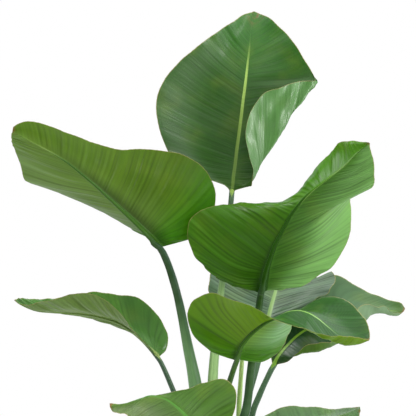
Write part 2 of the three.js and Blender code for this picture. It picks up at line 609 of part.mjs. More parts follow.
// ---- the plant ---------------------------------------------------------------------------------
const plant = new THREE.Group();
plant.add(mesh('pot', potGeometry(), LOOKS.pot));
plant.add(mesh('soil', soilGeometry(), LOOKS.soil));

for (const [name, crown] of Object.entries(CROWNS)) {
  plant.add(mesh(`crown_${name}`, crownGeometry(crown), LOOKS.crown));
}

for (const [name, leaf] of Object.entries(LEAVES)) {
  const stalk = stalkGeometry(leaf.foot, leaf.stalk, channelFacing(leaf), STALK.steps, GAP);
  plant.add(mesh(`stalk_${name}`, stalk, LOOKS.stalk));
  plant.add(mesh(`blade_${name}`, bladeGeometry(leaf), LOOKS.blade));
}

const { foot, route, seamFacing } = YOUNG_LEAF;
const youngLeaf = stalkGeometry(foot, route, seamFacing, YOUNG_LEAF.steps, 0);
plant.add(mesh('young_leaf', youngLeaf, LOOKS.youngLeaf));

export default plant;
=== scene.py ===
import math

import bmesh
import bpy
import mathutils
import numpy as np
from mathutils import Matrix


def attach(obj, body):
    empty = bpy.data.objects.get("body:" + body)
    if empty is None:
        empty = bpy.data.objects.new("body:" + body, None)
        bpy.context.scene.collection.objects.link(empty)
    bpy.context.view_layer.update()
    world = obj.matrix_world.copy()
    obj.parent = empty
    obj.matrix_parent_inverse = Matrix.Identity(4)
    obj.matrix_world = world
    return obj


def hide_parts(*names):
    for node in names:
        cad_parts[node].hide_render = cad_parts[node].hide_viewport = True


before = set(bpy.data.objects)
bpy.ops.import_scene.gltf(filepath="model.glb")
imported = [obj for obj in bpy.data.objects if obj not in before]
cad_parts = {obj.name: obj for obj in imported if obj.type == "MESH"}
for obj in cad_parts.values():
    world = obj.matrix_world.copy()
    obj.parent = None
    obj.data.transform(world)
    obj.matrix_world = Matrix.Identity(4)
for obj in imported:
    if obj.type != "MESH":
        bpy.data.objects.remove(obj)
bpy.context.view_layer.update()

# A young potted bird of paradise: nine broad leaves on channelled stalks, one rolled young leaf,
# three short crowns with papery sheaths, soil and a plain tapered pot. Metres, +Z up.

MM = 0.001

# ---- the front view ------------------------------------------------------------------------------
# A leaf point is (across, down, depth). Across and down count 2 mm squares of the front view at the
# pot's axis, from its upper left corner, and depth is in millimetres behind that axis.
VIEW_CENTRE = 208
VIEW_SQUARE = 2 * MM
VIEW_RANGE = 3.2
VIEW_X = -0.024
VIEW_Z = 1.029


def seen(point):
    across, down, depth = point[0], point[1], point[2] * MM
    square = VIEW_SQUARE * (VIEW_RANGE + depth) / VIEW_RANGE
    return np.array([
        VIEW_X + (across - VIEW_CENTRE) * square,
        depth,
        VIEW_Z + (VIEW_CENTRE - down) * square,
    ])


# ---- leaves --------------------------------------------------------------------------------------
# A blade's rows run along its veins, from base to tip: left margin, left middle, midrib, right
# middle and right margin, with the upper face towards the viewer when the base is below. BOW stands
# for a middle that only bows out of the straight line, by the leaf's own bows: a share of the half's
# width, towards the underside when negative. A stalk runs from its foot, (x, y, radius) in
# millimetres, through (across, down, depth, radius) points to the blade's base.
BOW = None

LEAVES = {
    "top": dict(
        bows=(-0.1, -0.08),
        foot=(-22, 36, 13),
        stalk=[
            (212, 520, 30, 12.5), (211, 450, 20, 11.5), (212.8, 380, 8, 10.2), (216.5, 335, 10, 8.4),
            (221.5, 288, 16, 6.8), (227.5, 238, 26, 6), (232, 191, 37, 5.4),
        ],
        rows=[
            ((230, 190.5, 36), BOW, (232, 191, 37), BOW, (234, 190.5, 36)),
            ((225, 185.5, 34.5), BOW, (232, 189.5, 37.5), BOW, (245, 187.5, 34)),
            ((221, 183, 33), BOW, (232.3, 188.5, 37.5), BOW, (249.5, 186.5, 31.5)),
            ((218.5, 182, 32.5), BOW, (232.5, 188, 37.5), BOW, (250.5, 186, 31)),
            ((215, 181.5, 31), BOW, (232.5, 187, 38), BOW, (252.5, 184, 28)),
            ((208, 180, 29), BOW, (232.8, 185.5, 38), (251.5, 181.5, 34), (252, 168, 16)),
            ((199.5, 178.5, 26.5), BOW, (233, 183.5, 38), (254, 178, 34), (246.5, 145, 6)),
            ((190, 175, 24), BOW, (233.3, 181, 38.5), (256.5, 173.5, 34), (246.5, 124, 0)),
            ((180.5, 168, 21), BOW, (233.5, 177, 39), (259.3, 168.5, 34.5), (255, 104.5, 1)),
            ((172, 158.5, 18), BOW, (234.2, 172, 40), (262, 163, 35), (264, 93.5, 5)),
            ((161, 135, 14), BOW, (235.5, 162, 42), (271, 149, 36), (278, 87.5, 13.5)),
            ((156, 112, 13), BOW, (237, 149, 44), (281, 132, 37), (290.5, 83.5, 24.5)),
            ((158.5, 91, 16), BOW, (239, 134, 46), (291, 115.5, 39), (301, 81, 34)),
            ((169, 73, 22), BOW, (241, 118, 49), (301, 100.5, 43), (309.5, 80.5, 42)),
            ((183, 58, 30), BOW, (243, 101, 52), (310.5, 87.5, 48), (315, 80, 48.5)),
            ((197, 46.5, 40), BOW, (245, 86, 56), (308.5, 80.8, 51), (313, 73.5, 52)),
            ((208, 38, 50), BOW, (246.3, 75, 60), (284, 70, 58), (304.5, 59, 55.5)),
            ((219, 30.5, 62), BOW, (247.8, 62, 66), BOW, (293, 41, 62.5)),
            ((231, 22.5, 76), BOW, (249.5, 48, 74), BOW, (281.5, 28.5, 73)),
            ((243, 14.8, 96), BOW, (251.3, 31, 88), BOW, (269, 17.5, 90)),
            ((254, 11, 112), BOW, (254, 11, 112), BOW, (254, 11, 112)),
        ],
    ),
    "left": dict(
        bows=(-0.1, -0.03),
        foot=(-40, 6, 15),
        stalk=[
            (200, 520, 0, 15.5), (199.5, 440, -4, 15), (195.6, 388, -10, 13), (187.5, 345, -18, 10),
            (178.5, 300, -26, 8), (169.3, 268, -30, 7.4), (160, 246, -30, 6.4),
        ],
        rows=[
            ((162.5, 247, -31), BOW, (160, 246, -30), BOW, (157, 244.5, -30)),
            ((197.5, 235.5, -14), BOW, (155.3, 241.8, -32), BOW, (149, 238, -16.5)),
            ((212, 218.5, -8), BOW, (154, 240.5, -33.5), BOW, (145.5, 236.5, -6)),
            ((216, 195, -5.5), BOW, (153, 239, -35), BOW, (141, 233.5, 5)),
            ((212, 181, -6.5), BOW, (151, 237, -37.5), BOW, (135, 230.5, 16)),
            ((203.5, 167.5, -10.5), BOW, (148.5, 234.8, -40), BOW, (128, 226.5, 28)),
            ((191, 158.5, -15.5), BOW, (144, 230.3, -46), BOW, (109.5, 215.5, 50.5)),
            ((175, 152.5, -22), BOW, (136.5, 223, -53), BOW, (86, 203, 65)),
            ((153.5, 149.5, -31), BOW, (126, 213.5, -62), BOW, (55.5, 191, 60.5)),
            ((143, 149, -35.5), BOW, (120, 208, -67.5), BOW, (40.5, 186, 45)),
            ((133, 149, -40), BOW, (113, 201.5, -73), BOW, (29.5, 182, 23.5)),
            ((122, 149.5, -45.5), BOW, (105.5, 195, -78.5), BOW, (23.5, 177, -2)),
            ((111.5, 148, -51), BOW, (98, 188, -84), BOW, (20, 164.5, -31.5)),
            ((89.5, 141, -65), BOW, (82, 174.5, -93), BOW, (14.5, 150, -70.5)),
            ((67, 132.5, -79), BOW, (66, 162, -100), BOW, (12, 142.5, -90)),
            ((45.5, 124.5, -94), BOW, (50, 152, -106), BOW, (11.5, 139, -99.5)),
            ((28.5, 121, -104), BOW, (34, 143.5, -111), BOW, (11, 137, -104)),
            ((18.5, 123.5, -110.5), BOW, (21, 136, -116), BOW, (11, 135.5, -108)),
            ((13, 127, -114), BOW, (12, 132, -116), BOW, (11.2, 134, -112)),
        ],
    ),
    "right": dict(
        bows=(-0.1, -0.12),
        foot=(16, 2, 12),
        stalk=[
            (231, 520, -16, 11.5), (239, 440, -36, 10), (247, 405, -46, 8.6), (251.5, 365, -56, 8),
            (256, 330, -64, 7.4), (261, 292, -70, 6.6),
        ],
        rows=[
            ((264, 290.5, -70), BOW, (261, 292, -70), BOW, (258, 292, -70)),
            ((293, 288, -56.5), (276, 288, -71), (262, 287.5, -73), (248.5, 289, -72), (227, 284, -60)),
            ((306.5, 284, -53), (281, 284.5, -73.5), (262.5, 285, -75),
             (240, 286, -70), (210, 273, -54.5)),
            ((320, 276, -51), (287.5, 281, -77.5), (263.3, 282, -77),
             (235.5, 280, -68.5), (198, 261, -50.5)),
            ((333, 266, -50), (295, 275, -83.5), (264, 278.5, -80),
             (232.5, 273.5, -67.5), (191, 249.5, -48.5)),
            ((342.5, 252.5, -50.5), (301.5, 267, -90.5), (265, 275, -83),
             (230, 266.5, -68), (187, 235, -48)),
            ((348.5, 238, -52.5), (307, 258.5, -98), (266, 271, -86),
             (231.5, 258.5, -69.5), (188.5, 223.5, -48)),
            ((351.5, 224, -56), (311, 250, -106), (267.3, 267, -89),
             (234.5, 249.5, -73), (194, 214.5, -48)),
            ((350.5, 203, -66), (316.5, 237, -122.5), (270.3, 258, -96),
             (241, 235, -82), (206, 208, -48)),
            ((350.5, 195, -88), (317, 226, -138), (274.3, 247, -106),
             (247, 224.5, -89), (218.5, 205, -49.5)),
            ((353, 192.5, -108), (320.5, 219.5, -145), (277, 241.5, -110),
             (251, 220, -93), (225.5, 204, -50.5)),
            ((359, 190.5, -132.5), (325, 213, -152), (280.5, 235, -115),
             (256.5, 214.5, -97.5), (233, 203.5, -51.5)),
            ((367, 189, -152), (330, 207.5, -158), (285, 226.5, -122),
             (263, 210, -102), (241, 203, -53)),
            ((373, 186, -167), (336, 202.5, -164), (290, 217, -130),
             (270, 206.5, -106), (249, 203, -54)),
            ((374.5, 183, -173.5), (341, 197, -169), (296.5, 208, -138),
             (279.5, 204, -109), (264, 203, -57)),
            ((375, 176.5, -180), (345, 191, -173), (303, 200, -146),
             (288.5, 200.5, -113.5), (275, 203, -60)),
            ((375, 172, -183), (348, 185, -177), (309.5, 193.5, -152.5),
             (300, 192.5, -121.5), (290, 198.5, -67.5)),
            ((374.5, 167, -186), (350, 179, -182), (316, 188, -158),
             (309.5, 182, -129.5), (305.5, 181, -82)),
            ((373.5, 160, -189.5), (354, 171, -185), (330, 177.5, -169),
             (329, 163, -144.5), (328, 154.5, -118.5)),
            ((372.5, 155, -192), (359, 164, -188), (344, 166.5, -178),
             (344, 151, -160.5), (341.5, 142, -148.5)),
            ((371.5, 150, -194), BOW, (356, 154.5, -186),
             (350.5, 144.5, -173.5), (350.5, 140.5, -166.5)),
            ((370.5, 146, -195.5), BOW, (364.5, 147, -192), BOW, (360, 141.5, -183.5)),
            ((370, 143, -197), BOW, (369.3, 142.3, -198), BOW, (366, 142, -194)),
        ],
    ),
    "low_left": dict(
        bows=(-0.05, -0.12),
        foot=(-56, 34, 12),
        stalk=[
            (194, 530, 38, 11.5), (190.5, 460, 40, 9), (184.5, 418, 42, 6.5), (173, 390, 46, 5.4),
            (165, 371, 48, 5), (157.5, 355.5, 50, 4.6),
        ],
        rows=[
            ((155, 353.5, 48), BOW, (157.5, 355.5, 50), BOW, (160, 356.5, 52)),
            ((152.5, 351, 43), BOW, (157, 355, 50), BOW, (166.5, 349, 61.5)),
            ((150, 348.5, 38), BOW, (156, 353.8, 50), BOW, (168, 335, 79.5)),
            ((147.5, 345.5, 32.5), BOW, (155, 352.5, 50), BOW, (157.5, 314.5, 95.5)),
            ((144, 342, 26), BOW, (153.5, 350.5, 50), BOW, (140, 298.5, 105)),
            ((139.5, 336.5, 17), BOW, (151.5, 348.5, 50), BOW, (129, 295.5, 108)),
            ((134, 330, 8), BOW, (149, 346, 50), BOW, (117, 294.5, 110)),
            ((122, 316, -8), BOW, (141.5, 338.5, 48), BOW, (95.5, 291.5, 107.5)),
            ((107, 301, -22), BOW, (131, 330, 45), BOW, (77.5, 294.5, 98.5)),
            ((91, 293.8, -33), BOW, (118, 322.5, 42), BOW, (62, 297.5, 85)),
            ((73, 294.5, -36), BOW, (103, 317.7, 38), BOW, (48.5, 298.5, 71)),
            ((56, 297.5, -28), BOW, (87, 314.5, 34), BOW, (35.5, 299, 56.5)),
            ((41, 302, -15), BOW, (70, 313, 30), BOW, (26, 298.5, 44)),
            ((31, 304.8, -3), BOW, (54, 312.8, 26), BOW, (20.5, 298, 34.5)),
            ((22, 304.5, 8), BOW, (38, 311.5, 20), BOW, (17.5, 298, 26.5)),
            ((17, 302.5, 11), BOW, (25, 307, 15), BOW, (15.5, 299, 18.5)),
            ((14, 300, 12), BOW, (14, 300, 12), BOW, (14, 300, 12)),
        ],
    ),
    "centre": dict(
        bows=(-0.12, -0.1),
        foot=(-6, -36, 11.5),
        stalk=[
            (213, 530, -56, 11), (215, 460, -76, 9), (221, 410, -98, 6.6), (230.5, 379, -120, 5.6),
            (237, 359.5, -142, 5),
        ],
        rows=[
            ((240, 358.5, -142), BOW, (237, 359.5, -142), BOW, (234, 360, -142)),
            ((260.5, 362, -121), BOW, (237.5, 357, -144), BOW, (222.5, 356, -137)),
            ((277.5, 354, -106.5), BOW, (238.3, 354, -146), BOW, (208, 349, -132.5)),
            ((283.5, 346.5, -104), BOW, (239.5, 351, -148.5), (219.5, 347, -148), (193, 335, -133)),
            ((286, 340.5, -107), BOW, (240.5, 348.5, -151), (214, 334.5, -146), (187, 317.5, -142.5)),
            ((287, 337.5, -109.5), BOW, (241.5, 346, -153.5), (212.5, 327.5, -151.5), (189, 307, -152)),
            ((288, 334.5, -113.5), BOW, (243, 343.7, -156), (213.5, 321, -159.5), (195.5, 298.5, -164)),
            ((289.5, 331, -119), BOW, (246.5, 339, -163), (221, 312.5, -173.5), (211.5, 292.5, -186.5)),
            ((291.5, 327, -124.5), BOW, (251, 334, -172), (231, 310, -190), (226, 296.5, -206)),
            ((293.5, 321.5, -130.5), BOW, (257, 328.7, -184), (244, 310.5, -207), (239.5, 302, -227)),
            ((297, 315.5, -136.5), BOW, (264.5, 323, -198), (254.5, 313.5, -223), (251.5, 307, -248.5)),
            ((301, 310, -143), BOW, (272.5, 318.5, -214), BOW, (261.5, 312, -268.5)),
            ((307, 306, -148.5), BOW, (281, 314.5, -229), BOW, (271, 318, -285)),
            ((315.5, 301, -154), BOW, (289.5, 311, -243), BOW, (282, 322.5, -305)),
            ((326.5, 297, -162.5), BOW, (299, 310.3, -256), (296.5, 322, -288), (294, 326.5, -322.5)),
            ((339.5, 297.5, -178), BOW, (308.5, 313, -266),
             (304.5, 326.5, -306.5), (304.5, 329, -328.5)),
            ((350, 303.5, -196), BOW, (318.5, 319, -273), (316, 333, -309), (316, 332.8, -332)),
            ((359.5, 311.3, -220), BOW, (328, 327, -279), (330, 340.5, -308), (331, 335.2, -330)),
            ((366.3, 321, -246), BOW, (339, 335.5, -283), (344, 345, -303), (346, 336.3, -320)),
            ((370, 331, -268), BOW, (354, 341, -285), (358, 344.3, -293), (359, 337.5, -304)),
            ((369.8, 339, -284), BOW, (369.5, 340.5, -285), BOW, (369, 339.5, -287)),
        ],
    ),
    "back": dict(
        bows=(-0.08, -0.08),
        foot=(14, 50, 11.5),
        stalk=[
            (227, 530, 52, 11), (233, 460, 50, 9), (243, 416, 48, 6.8), (258, 363, 42, 5.6),
            (265, 330, 41, 5.2),
        ],
        rows=[
            ((262, 331, 40), BOW, (265, 330, 41), BOW, (268, 331, 40)),
            ((240, 325, 48), BOW, (266.3, 326.5, 44), BOW, (286, 323, 34)),
            ((218, 309, 58), BOW, (267.6, 322, 49), BOW, (304, 312, 22)),
            ((208.5, 291, 72), BOW, (269.2, 316, 57), (298, 305, 36), (317, 299, 10)),
            ((209.5, 274, 90), BOW, (271.3, 307, 68), (304, 297, 44), (330, 291.5, 5)),
            ((218, 260, 112), BOW, (274, 297.5, 84), (307, 289, 58), (334.5, 282, 22)),
            ((230, 248, 136), BOW, (277, 286.5, 104), (308, 281, 82), (333.3, 272, 52)),
            ((243, 240, 160), BOW, (280.3, 275, 126), BOW, (323, 282.5, 80)),
            ((258, 234, 182), BOW, (283.7, 262, 150), BOW, (316, 274, 104)),
            ((271, 230, 202), BOW, (287.2, 249.5, 176), BOW, (310, 256, 150)),
            ((283, 229, 216), BOW, (290.3, 239, 200), BOW, (302, 240, 192)),
            ((293, 231, 224), BOW, (293, 231, 225), BOW, (293, 231, 224)),
        ],
    ),
    "right_back": dict(
        bows=(-0.08, -0.08),
        foot=(42, 40, 12),
        stalk=[
            (241, 530, 42, 11), (245, 470, 38, 9.5), (251, 420, 34, 6.8), (260, 394, 32, 6),
            (274, 364, 30, 5.4),
        ],
        rows=[
            ((272, 363.5, 30), BOW, (274, 364, 30), BOW, (276.5, 365, 30)),
            ((270, 353, 40), BOW, (276.3, 359, 30.5), BOW, (288, 361.5, 14)),
            ((270, 338, 56), BOW, (281, 352.5, 32), (292, 357, 6), (296, 354.5, -4)),
            ((275, 321, 76), BOW, (288.5, 344, 36), (304, 353.3, -4), (306, 345.5, -20)),
            ((287, 306, 94), BOW, (298, 335, 41), (318, 350.6, -8), (319, 342.5, -28)),
            ((303, 294, 110), BOW, (310, 327.5, 47), (332, 345.6, -8), (332, 341.5, -28)),
            ((320, 283, 122), BOW, (324, 321.5, 54), (346, 338, -4), (344, 333, -26)),
            ((335.5, 275, 128), BOW, (339, 316.5, 61), (358, 328, 4), (353, 319, -18)),
            ((352, 283.5, 126), BOW, (354, 313.5, 67), (367, 319.5, 16), (359, 307, -2)),
            ((368, 291.5, 120), BOW, (368, 311.5, 72), (374, 314, 32), (368, 304, 12)),
            ((384, 298, 110), BOW, (380, 311, 76), (383, 313.3, 46), (377.5, 307, 26)),
            ((395, 301, 102), BOW, (391, 311, 78), (391, 315.3, 56), (385, 306, 40)),
            ((401.5, 303, 92), BOW, (399, 311, 77), (398, 315.5, 64), (392, 312.5, 52)),
            ((405, 308, 76), BOW, (405, 309, 75), BOW, (402.5, 312.5, 68)),
        ],
    ),
    "front_left": dict(
        bows=(-0.1, -0.08),
        foot=(-30, -50, 12),
        stalk=[
            (205, 550, -66, 11), (204.5, 500, -100, 8.6), (205.5, 465, -132, 6.6),
            (205, 443, -150, 5.6),
        ],
        rows=[
            ((203, 445, -150), BOW, (205, 443, -150), BOW, (207.5, 441.5, -150)),
            ((192, 448.5, -152), BOW, (202, 439, -156), BOW, (222, 434, -146)),
            ((178, 448, -162), BOW, (198.5, 433, -161), BOW, (233, 416, -143)),
            ((165, 445, -177), BOW, (194.5, 427.5, -167), BOW, (237, 399, -144)),
            ((154, 440, -193), BOW, (189.5, 421, -173), BOW, (233, 384.5, -151)),
            ((145, 433, -211), BOW, (183.5, 413.5, -181), BOW, (222.5, 378.3, -162)),
            ((138, 426, -227), BOW, (176, 406.5, -191), BOW, (207, 382.7, -176)),
            ((132, 420, -239), BOW, (166.5, 399.7, -202), BOW, (191, 387.5, -188)),
            ((127, 416, -246), BOW, (155, 396.3, -214), BOW, (172, 392.3, -199)),
            ((121, 413.8, -248), BOW, (143, 397.5, -224), BOW, (154, 396.8, -210)),
            ((117, 413, -246), BOW, (127.5, 402.8, -231), BOW, (136, 399.8, -220)),
            ((114.5, 412.5, -243), BOW, (117, 404.6, -234), BOW, (122.5, 404, -226)),
            ((112.3, 411.5, -240), BOW, (109.6, 406.5, -237), BOW, (109.3, 402.8, -232)),
        ],
    ),
    "front_right": dict(
        bows=(-0.1, -0.1),
        foot=(20, -44, 11.5),
        stalk=[
            (238, 560, -50, 11), (246, 520, -54, 8.6), (253, 485, -57, 6.4), (257, 463, -60, 5.4),
        ],
        rows=[
            ((255, 461, -60), BOW, (257, 463, -60), BOW, (259.5, 464, -61)),
            ((250, 451, -54), BOW, (260, 458, -63), BOW, (272, 465, -74)),
            ((252, 436, -46), BOW, (266.5, 449.5, -69), BOW, (286, 464.5, -90)),
            ((259, 421.5, -38), BOW, (275, 441.5, -75), BOW, (301, 461, -106)),
            ((272, 411, -31), BOW, (286, 434, -83), BOW, (317, 454.5, -117)),
            ((289, 406, -28), BOW, (299, 428.5, -90), BOW, (331, 446.5, -124)),
            ((308, 406.5, -32), BOW, (313, 423.5, -97), BOW, (343, 437, -127)),
            ((327, 408, -43), BOW, (328, 419, -103), BOW, (352.5, 428, -124)),
            ((345, 408, -64), BOW, (343, 414.5, -106), BOW, (358.5, 420, -118)),
            ((360, 406.5, -100), BOW, (360.5, 408, -104), BOW, (360.7, 411, -106)),
        ],
    ),
}

YOUNG_LEAF = dict(
    foot=(30, 22, 6.5),
    route=[(236.5, 500, 12, 6), (238.7, 416, 0, 5), (242.3, 358, -8, 4), (244, 333, -10, 1.2)],
)

CROWNS = {
    "left": dict(middle=(-41, 24), half_widths=(31, 32), turn=0.4),
    "right": dict(middle=(28, 26), half_widths=(29, 40), turn=1.3),
    "front": dict(middle=(-5, -43), half_widths=(42, 20), turn=2.1),
}

# Every leaf's own look. These are colours, as red, green and blue out of 255:
#   upper, under         the blade's upper face and its underside
#   glow                 the light that shines through it
#   rib, spine           the midrib on the upper face and on the underside
#   stalk, stalk_low     the stalk's upper and lower part
# A name that ends in _left is for the half on the left margin's side: those colours are painted light
# and painted sheen, which make that half lighter or darker for how the light falls on it. A name that
# ends in _base is for the part of the blade next to its base, and in _tip for the part next to its tip.
# And these are numbers:
#   ridge                the share of the blade at which the midrib's dark underside ends
#   rib_reach            how far the midrib's colour reaches across it, at the base and at the tip
#   base_reach           the shares of the blade between which the _base colours end
#   tip_shade            painted shade that darkens the tip, and painted light where it is negative,
#                        on the right half and on the left half
#   fold_shade           how dark the underside is beside the midrib
#   fold_side            the half that this shade is on: 1 for the right one, -1 for the left one
#   fold_width           how wide this shade is at the base, in millimetres
#   lines                how strongly the veins are drawn
#   spacing              how far apart the grooves are, against most leaves
#   sweep                how far the veins lean towards the tip
#   pleats, ruffles      how strongly the blade is pleated, and how wavy its margin is
#   ragged               how uneven its margin is next to the base, in millimetres
#   crinkle              how high the soft folds in its right half are, in millimetres
#   gloss                how shiny it is
#   shine, shine_spread  the wax on the upper face and on the underside, and how blurred it is
PLAIN_LOOK = dict(
    rib_reach=(1.0, 1.0), base_reach=(0.08, 0.42), tip_shade=(0.0, 0.0), fold_side=1.0, fold_width=22.0,
    spacing=1.0, sweep=0.0, ragged=0.0, crinkle=0.0, shine=(0.02, 0.02), shine_spread=0.24,
)
LOOKS = {
    "top": dict(
        # Its upper_tip colour is painted light: the glow of light shining through the blade next to its
        # tip.
        upper=(50, 88, 28), upper_tip=(40, 100, 2), under=(96, 152, 72), glow=(84, 156, 24),
        rib=(156, 188, 88), rib_base=(100, 130, 50), rib_reach=(0.5, 1.5), spine=(70, 100, 50),
        stalk=(88, 116, 82), stalk_low=(166, 202, 132),
        ridge=0.6, fold_shade=0.3, lines=0.5, pleats=0.35, ruffles=0.5, crinkle=2.0,
        gloss=0.36, shine=(0.18, 1.0), shine_spread=0.3,
    ),
    "left": dict(
        upper=(70, 108, 30), under=(110, 142, 60), under_left=(82, 114, 18), under_base=(66, 136, 10),
        glow=(122, 160, 20), glow_left=(106, 156, 0), rib=(140, 160, 90), spine=(50, 88, 12),
        stalk=(42, 68, 34), stalk_low=(104, 142, 90),
        ridge=0.75, tip_shade=(-0.05, -0.05), fold_shade=0.9, fold_side=-1.0, fold_width=46.0,
        lines=0.8, pleats=0.9, ruffles=0.4, gloss=0.15,
    ),
    "right": dict(
        upper=(66, 104, 34), under=(74, 128, 20), under_left=(124, 176, 92),
        glow=(76, 150, 0), glow_left=(104, 174, 40), rib=(140, 160, 90), spine=(34, 76, 0),
        stalk=(38, 70, 8), stalk_low=(52, 82, 44),
        ridge=0.6, rib_reach=(1.4, 1.0), tip_shade=(-0.2, 0.12), fold_shade=1.0, fold_width=28.0,
        lines=1.1, pleats=1.4, ruffles=0.8, ragged=3.0, gloss=0.2,
    ),
    "low_left": dict(
        upper=(74, 120, 46), under=(112, 140, 66), glow=(80, 140, 10), rib=(140, 160, 90),
        spine=(110, 134, 74), stalk=(80, 104, 80), stalk_low=(80, 104, 80),
        ridge=0.5, fold_shade=0.2, lines=0.8, pleats=1.0, ruffles=0.6, gloss=0.21,
    ),
    "centre": dict(
        upper=(52, 92, 44), under=(106, 142, 20), under_left=(134, 180, 122), under_base=(64, 122, 0),
        glow=(150, 200, 0), glow_left=(144, 190, 84), rib=(128, 168, 84), spine=(48, 88, 0),
        stalk=(58, 92, 24), stalk_low=(58, 90, 40),
        ridge=0.5, tip_shade=(0.12, 0.12), fold_shade=0.9, lines=0.9, sweep=1.3, pleats=1.0, ruffles=0.5,
        gloss=0.18,
    ),
    "back": dict(
        upper=(98, 124, 96), under=(118, 146, 110), glow=(90, 140, 56), rib=(140, 172, 104),
        spine=(70, 100, 56), stalk=(92, 120, 88), stalk_low=(92, 120, 88),
        ridge=0.6, rib_reach=(1.0, 1.2), fold_shade=0.2, lines=2.0, spacing=0.6, pleats=1.4, ruffles=1.5,
        gloss=0.2,
    ),
    "right_back": dict(
        # Its _base colours are painted shade, where the centre leaf shades this blade's base.
        upper=(76, 108, 70), upper_base=(22, 58, 20), upper_tip=(60, 98, 14),
        under=(120, 150, 110), under_base=(84, 122, 36), glow=(80, 140, 20), rib=(112, 152, 44),
        spine=(110, 140, 84), stalk=(80, 108, 78), stalk_low=(84, 112, 84),
        ridge=0.6, rib_reach=(0.6, 1.0), base_reach=(0.3, 0.55), fold_shade=0.2, lines=0.35, sweep=1.2,
        pleats=0.6, ruffles=0.6, gloss=0.26,
    ),
    "front_left": dict(
        upper=(74, 114, 36), upper_left=(96, 118, 72), under=(140, 150, 122), glow=(92, 130, 50),
        rib=(76, 130, 44), spine=(90, 120, 70), stalk=(76, 104, 62), stalk_low=(76, 104, 62),
        ridge=0.6, rib_reach=(1.1, 0.15), fold_shade=0.2, lines=0.8, pleats=0.9, ruffles=0.8, gloss=0.21,
    ),
    "front_right": dict(
        upper=(98, 132, 86), under=(110, 140, 84), glow=(80, 140, 20), rib=(140, 170, 100),
        spine=(90, 120, 70), stalk=(80, 108, 70), stalk_low=(80, 108, 70),
        ridge=0.6, fold_shade=0.2, lines=0.8, pleats=1.0, ruffles=0.8, gloss=0.22,
    ),
}


# ---- numbers -------------------------------------------------------------------------------------
def unit(vectors):
    return vectors / np.maximum(np.linalg.norm(vectors, axis=-1, keepdims=True), 1e-9)


def smoothstep(x, low=0.0, high=1.0):
    t = np.clip((x - low) / (high - low), 0, 1)
    return t * t * (3 - 2 * t)


def path_length(points):
    """How far along a row of points each one is."""
    return np.concatenate([[0], np.cumsum(np.linalg.norm(np.diff(points, axis=0), axis=-1))])


def smooth_curve(points, t):
    """A uniform Catmull-Rom curve through points, at each t from 0 to 1. The points may be arrays."""
    points = np.asarray(points, float)
    last = len(points) - 1
    place = np.atleast_1d(t) * last
    span = np.minimum(np.floor(place).astype(int), last - 1)
    w = (place - span).reshape(-1, *([1] * (points.ndim - 1)))
    ends = np.concatenate([[2 * points[0] - points[1]], points, [2 * points[-1] - points[-2]]])
    before, start, end, after = (ends[span + k] for k in range(4))
    leave, arrive = 0.5 * (end - before), 0.5 * (after - start)
    return (
        (2 * w**3 - 3 * w**2 + 1) * start
        + (w**3 - 2 * w**2 + w) * leave
        + (3 * w**2 - 2 * w**3) * end
        + (w**3 - w**2) * arrive
    )


def wander(rng, x, wavelength, waves=5):
    """A smooth irregular wave about 0, mostly within 1 and -1, of about that wavelength."""
    total = np.zeros_like(x, dtype=float)
    for _ in range(waves):
        length = wavelength * rng.uniform(0.7, 1.5)
        total += np.sin(2 * math.pi * (x / length + rng.random()))
    return total / math.sqrt(waves)


HILL_COUNT = 64


def hills(rng, x, y, size):
    """Smooth random hills from 0 to 1, about `size` apart, over the plane."""
    count = HILL_COUNT
    heights = rng.random((count, count))
    px, py = x / size, y / size
    ix, iy = np.floor(px).astype(int), np.floor(py).astype(int)
    fx, fy = smoothstep(px - ix), smoothstep(py - iy)

    def corner(dx, dy):
        return heights[(ix + dx) % count, (iy + dy) % count]

    near = corner(0, 0) * (1 - fx) + corner(1, 0) * fx
    far = corner(0, 1) * (1 - fx) + corner(1, 1) * fx
    return near * (1 - fy) + far * fy


# ---- meshes --------------------------------------------------------------------------------------
def make_piece(name, points, faces, material, attributes=None, replaces=None):
    mesh = bpy.data.meshes.new(name)
    mesh.from_pydata(np.asarray(points).tolist(), [], faces)
    for key, values in (attributes or {}).items():
        layer = mesh.attributes.new(key, "FLOAT", "POINT")
        layer.data.foreach_set("value", np.asarray(values, dtype=np.float32).ravel())
    mesh.shade_smooth()
    mesh.materials.append(material)
    piece = bpy.data.objects.new(name, mesh)
    bpy.context.scene.collection.objects.link(piece)
    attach(piece, "root")
    if replaces:
        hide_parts(replaces)
    return piece


def sheet_faces(rows, columns):
    """Quads of a closed sheet: an upper grid, an under grid and the four edges between them."""
    under = rows * columns
    faces = []
    for r in range(rows - 1):
        left, right = r * columns, (r + 1) * columns - 1
        left_on, right_on = left + columns, right + columns
        for a in range(left, right):
            b, d, e = a + 1, a + 1 + columns, a + columns
            faces.append((a, b, d, e))
            faces.append((under + a, under + e, under + d, under + b))
        faces.append((left, left_on, under + left_on, under + left))
        faces.append((right_on, right, under + right, under + right_on))
    for c in range(columns - 1):
        tip = (rows - 1) * columns + c
        faces.append((c, under + c, under + c + 1, c + 1))
        faces.append((tip + 1, under + tip + 1, under + tip, tip))
    return faces


def tube_faces(rings, sides):
    """Faces of a closed tube whose rings run counter-clockwise about its route."""
    faces = []
    for ring in range(rings - 1):
        for side in range(sides):
            a, b = ring * sides + side, ring * sides + (side + 1) % sides
            faces.append((a, b, b + sides, a + sides))
    first, last = rings * sides, rings * sides + 1
    start = (rings - 1) * sides
    for side in range(sides):
        following = (side + 1) % sides
        faces.append((first, following, side))
        faces.append((last, start + side, start + following))
    return faces


def with_ends(rings):
    """The points of a tube's rings, then the middles of its first and last ring."""
    middles = [rings[0].mean(axis=0), rings[-1].mean(axis=0)]
    return np.concatenate([rings.reshape(-1, 3), middles])


def with_end_values(values):
    """A value for each point of a tube's rings, then the first and the last again for its ends."""
    values = values.ravel()
    return np.concatenate([values, [values[0], values[-1]]])


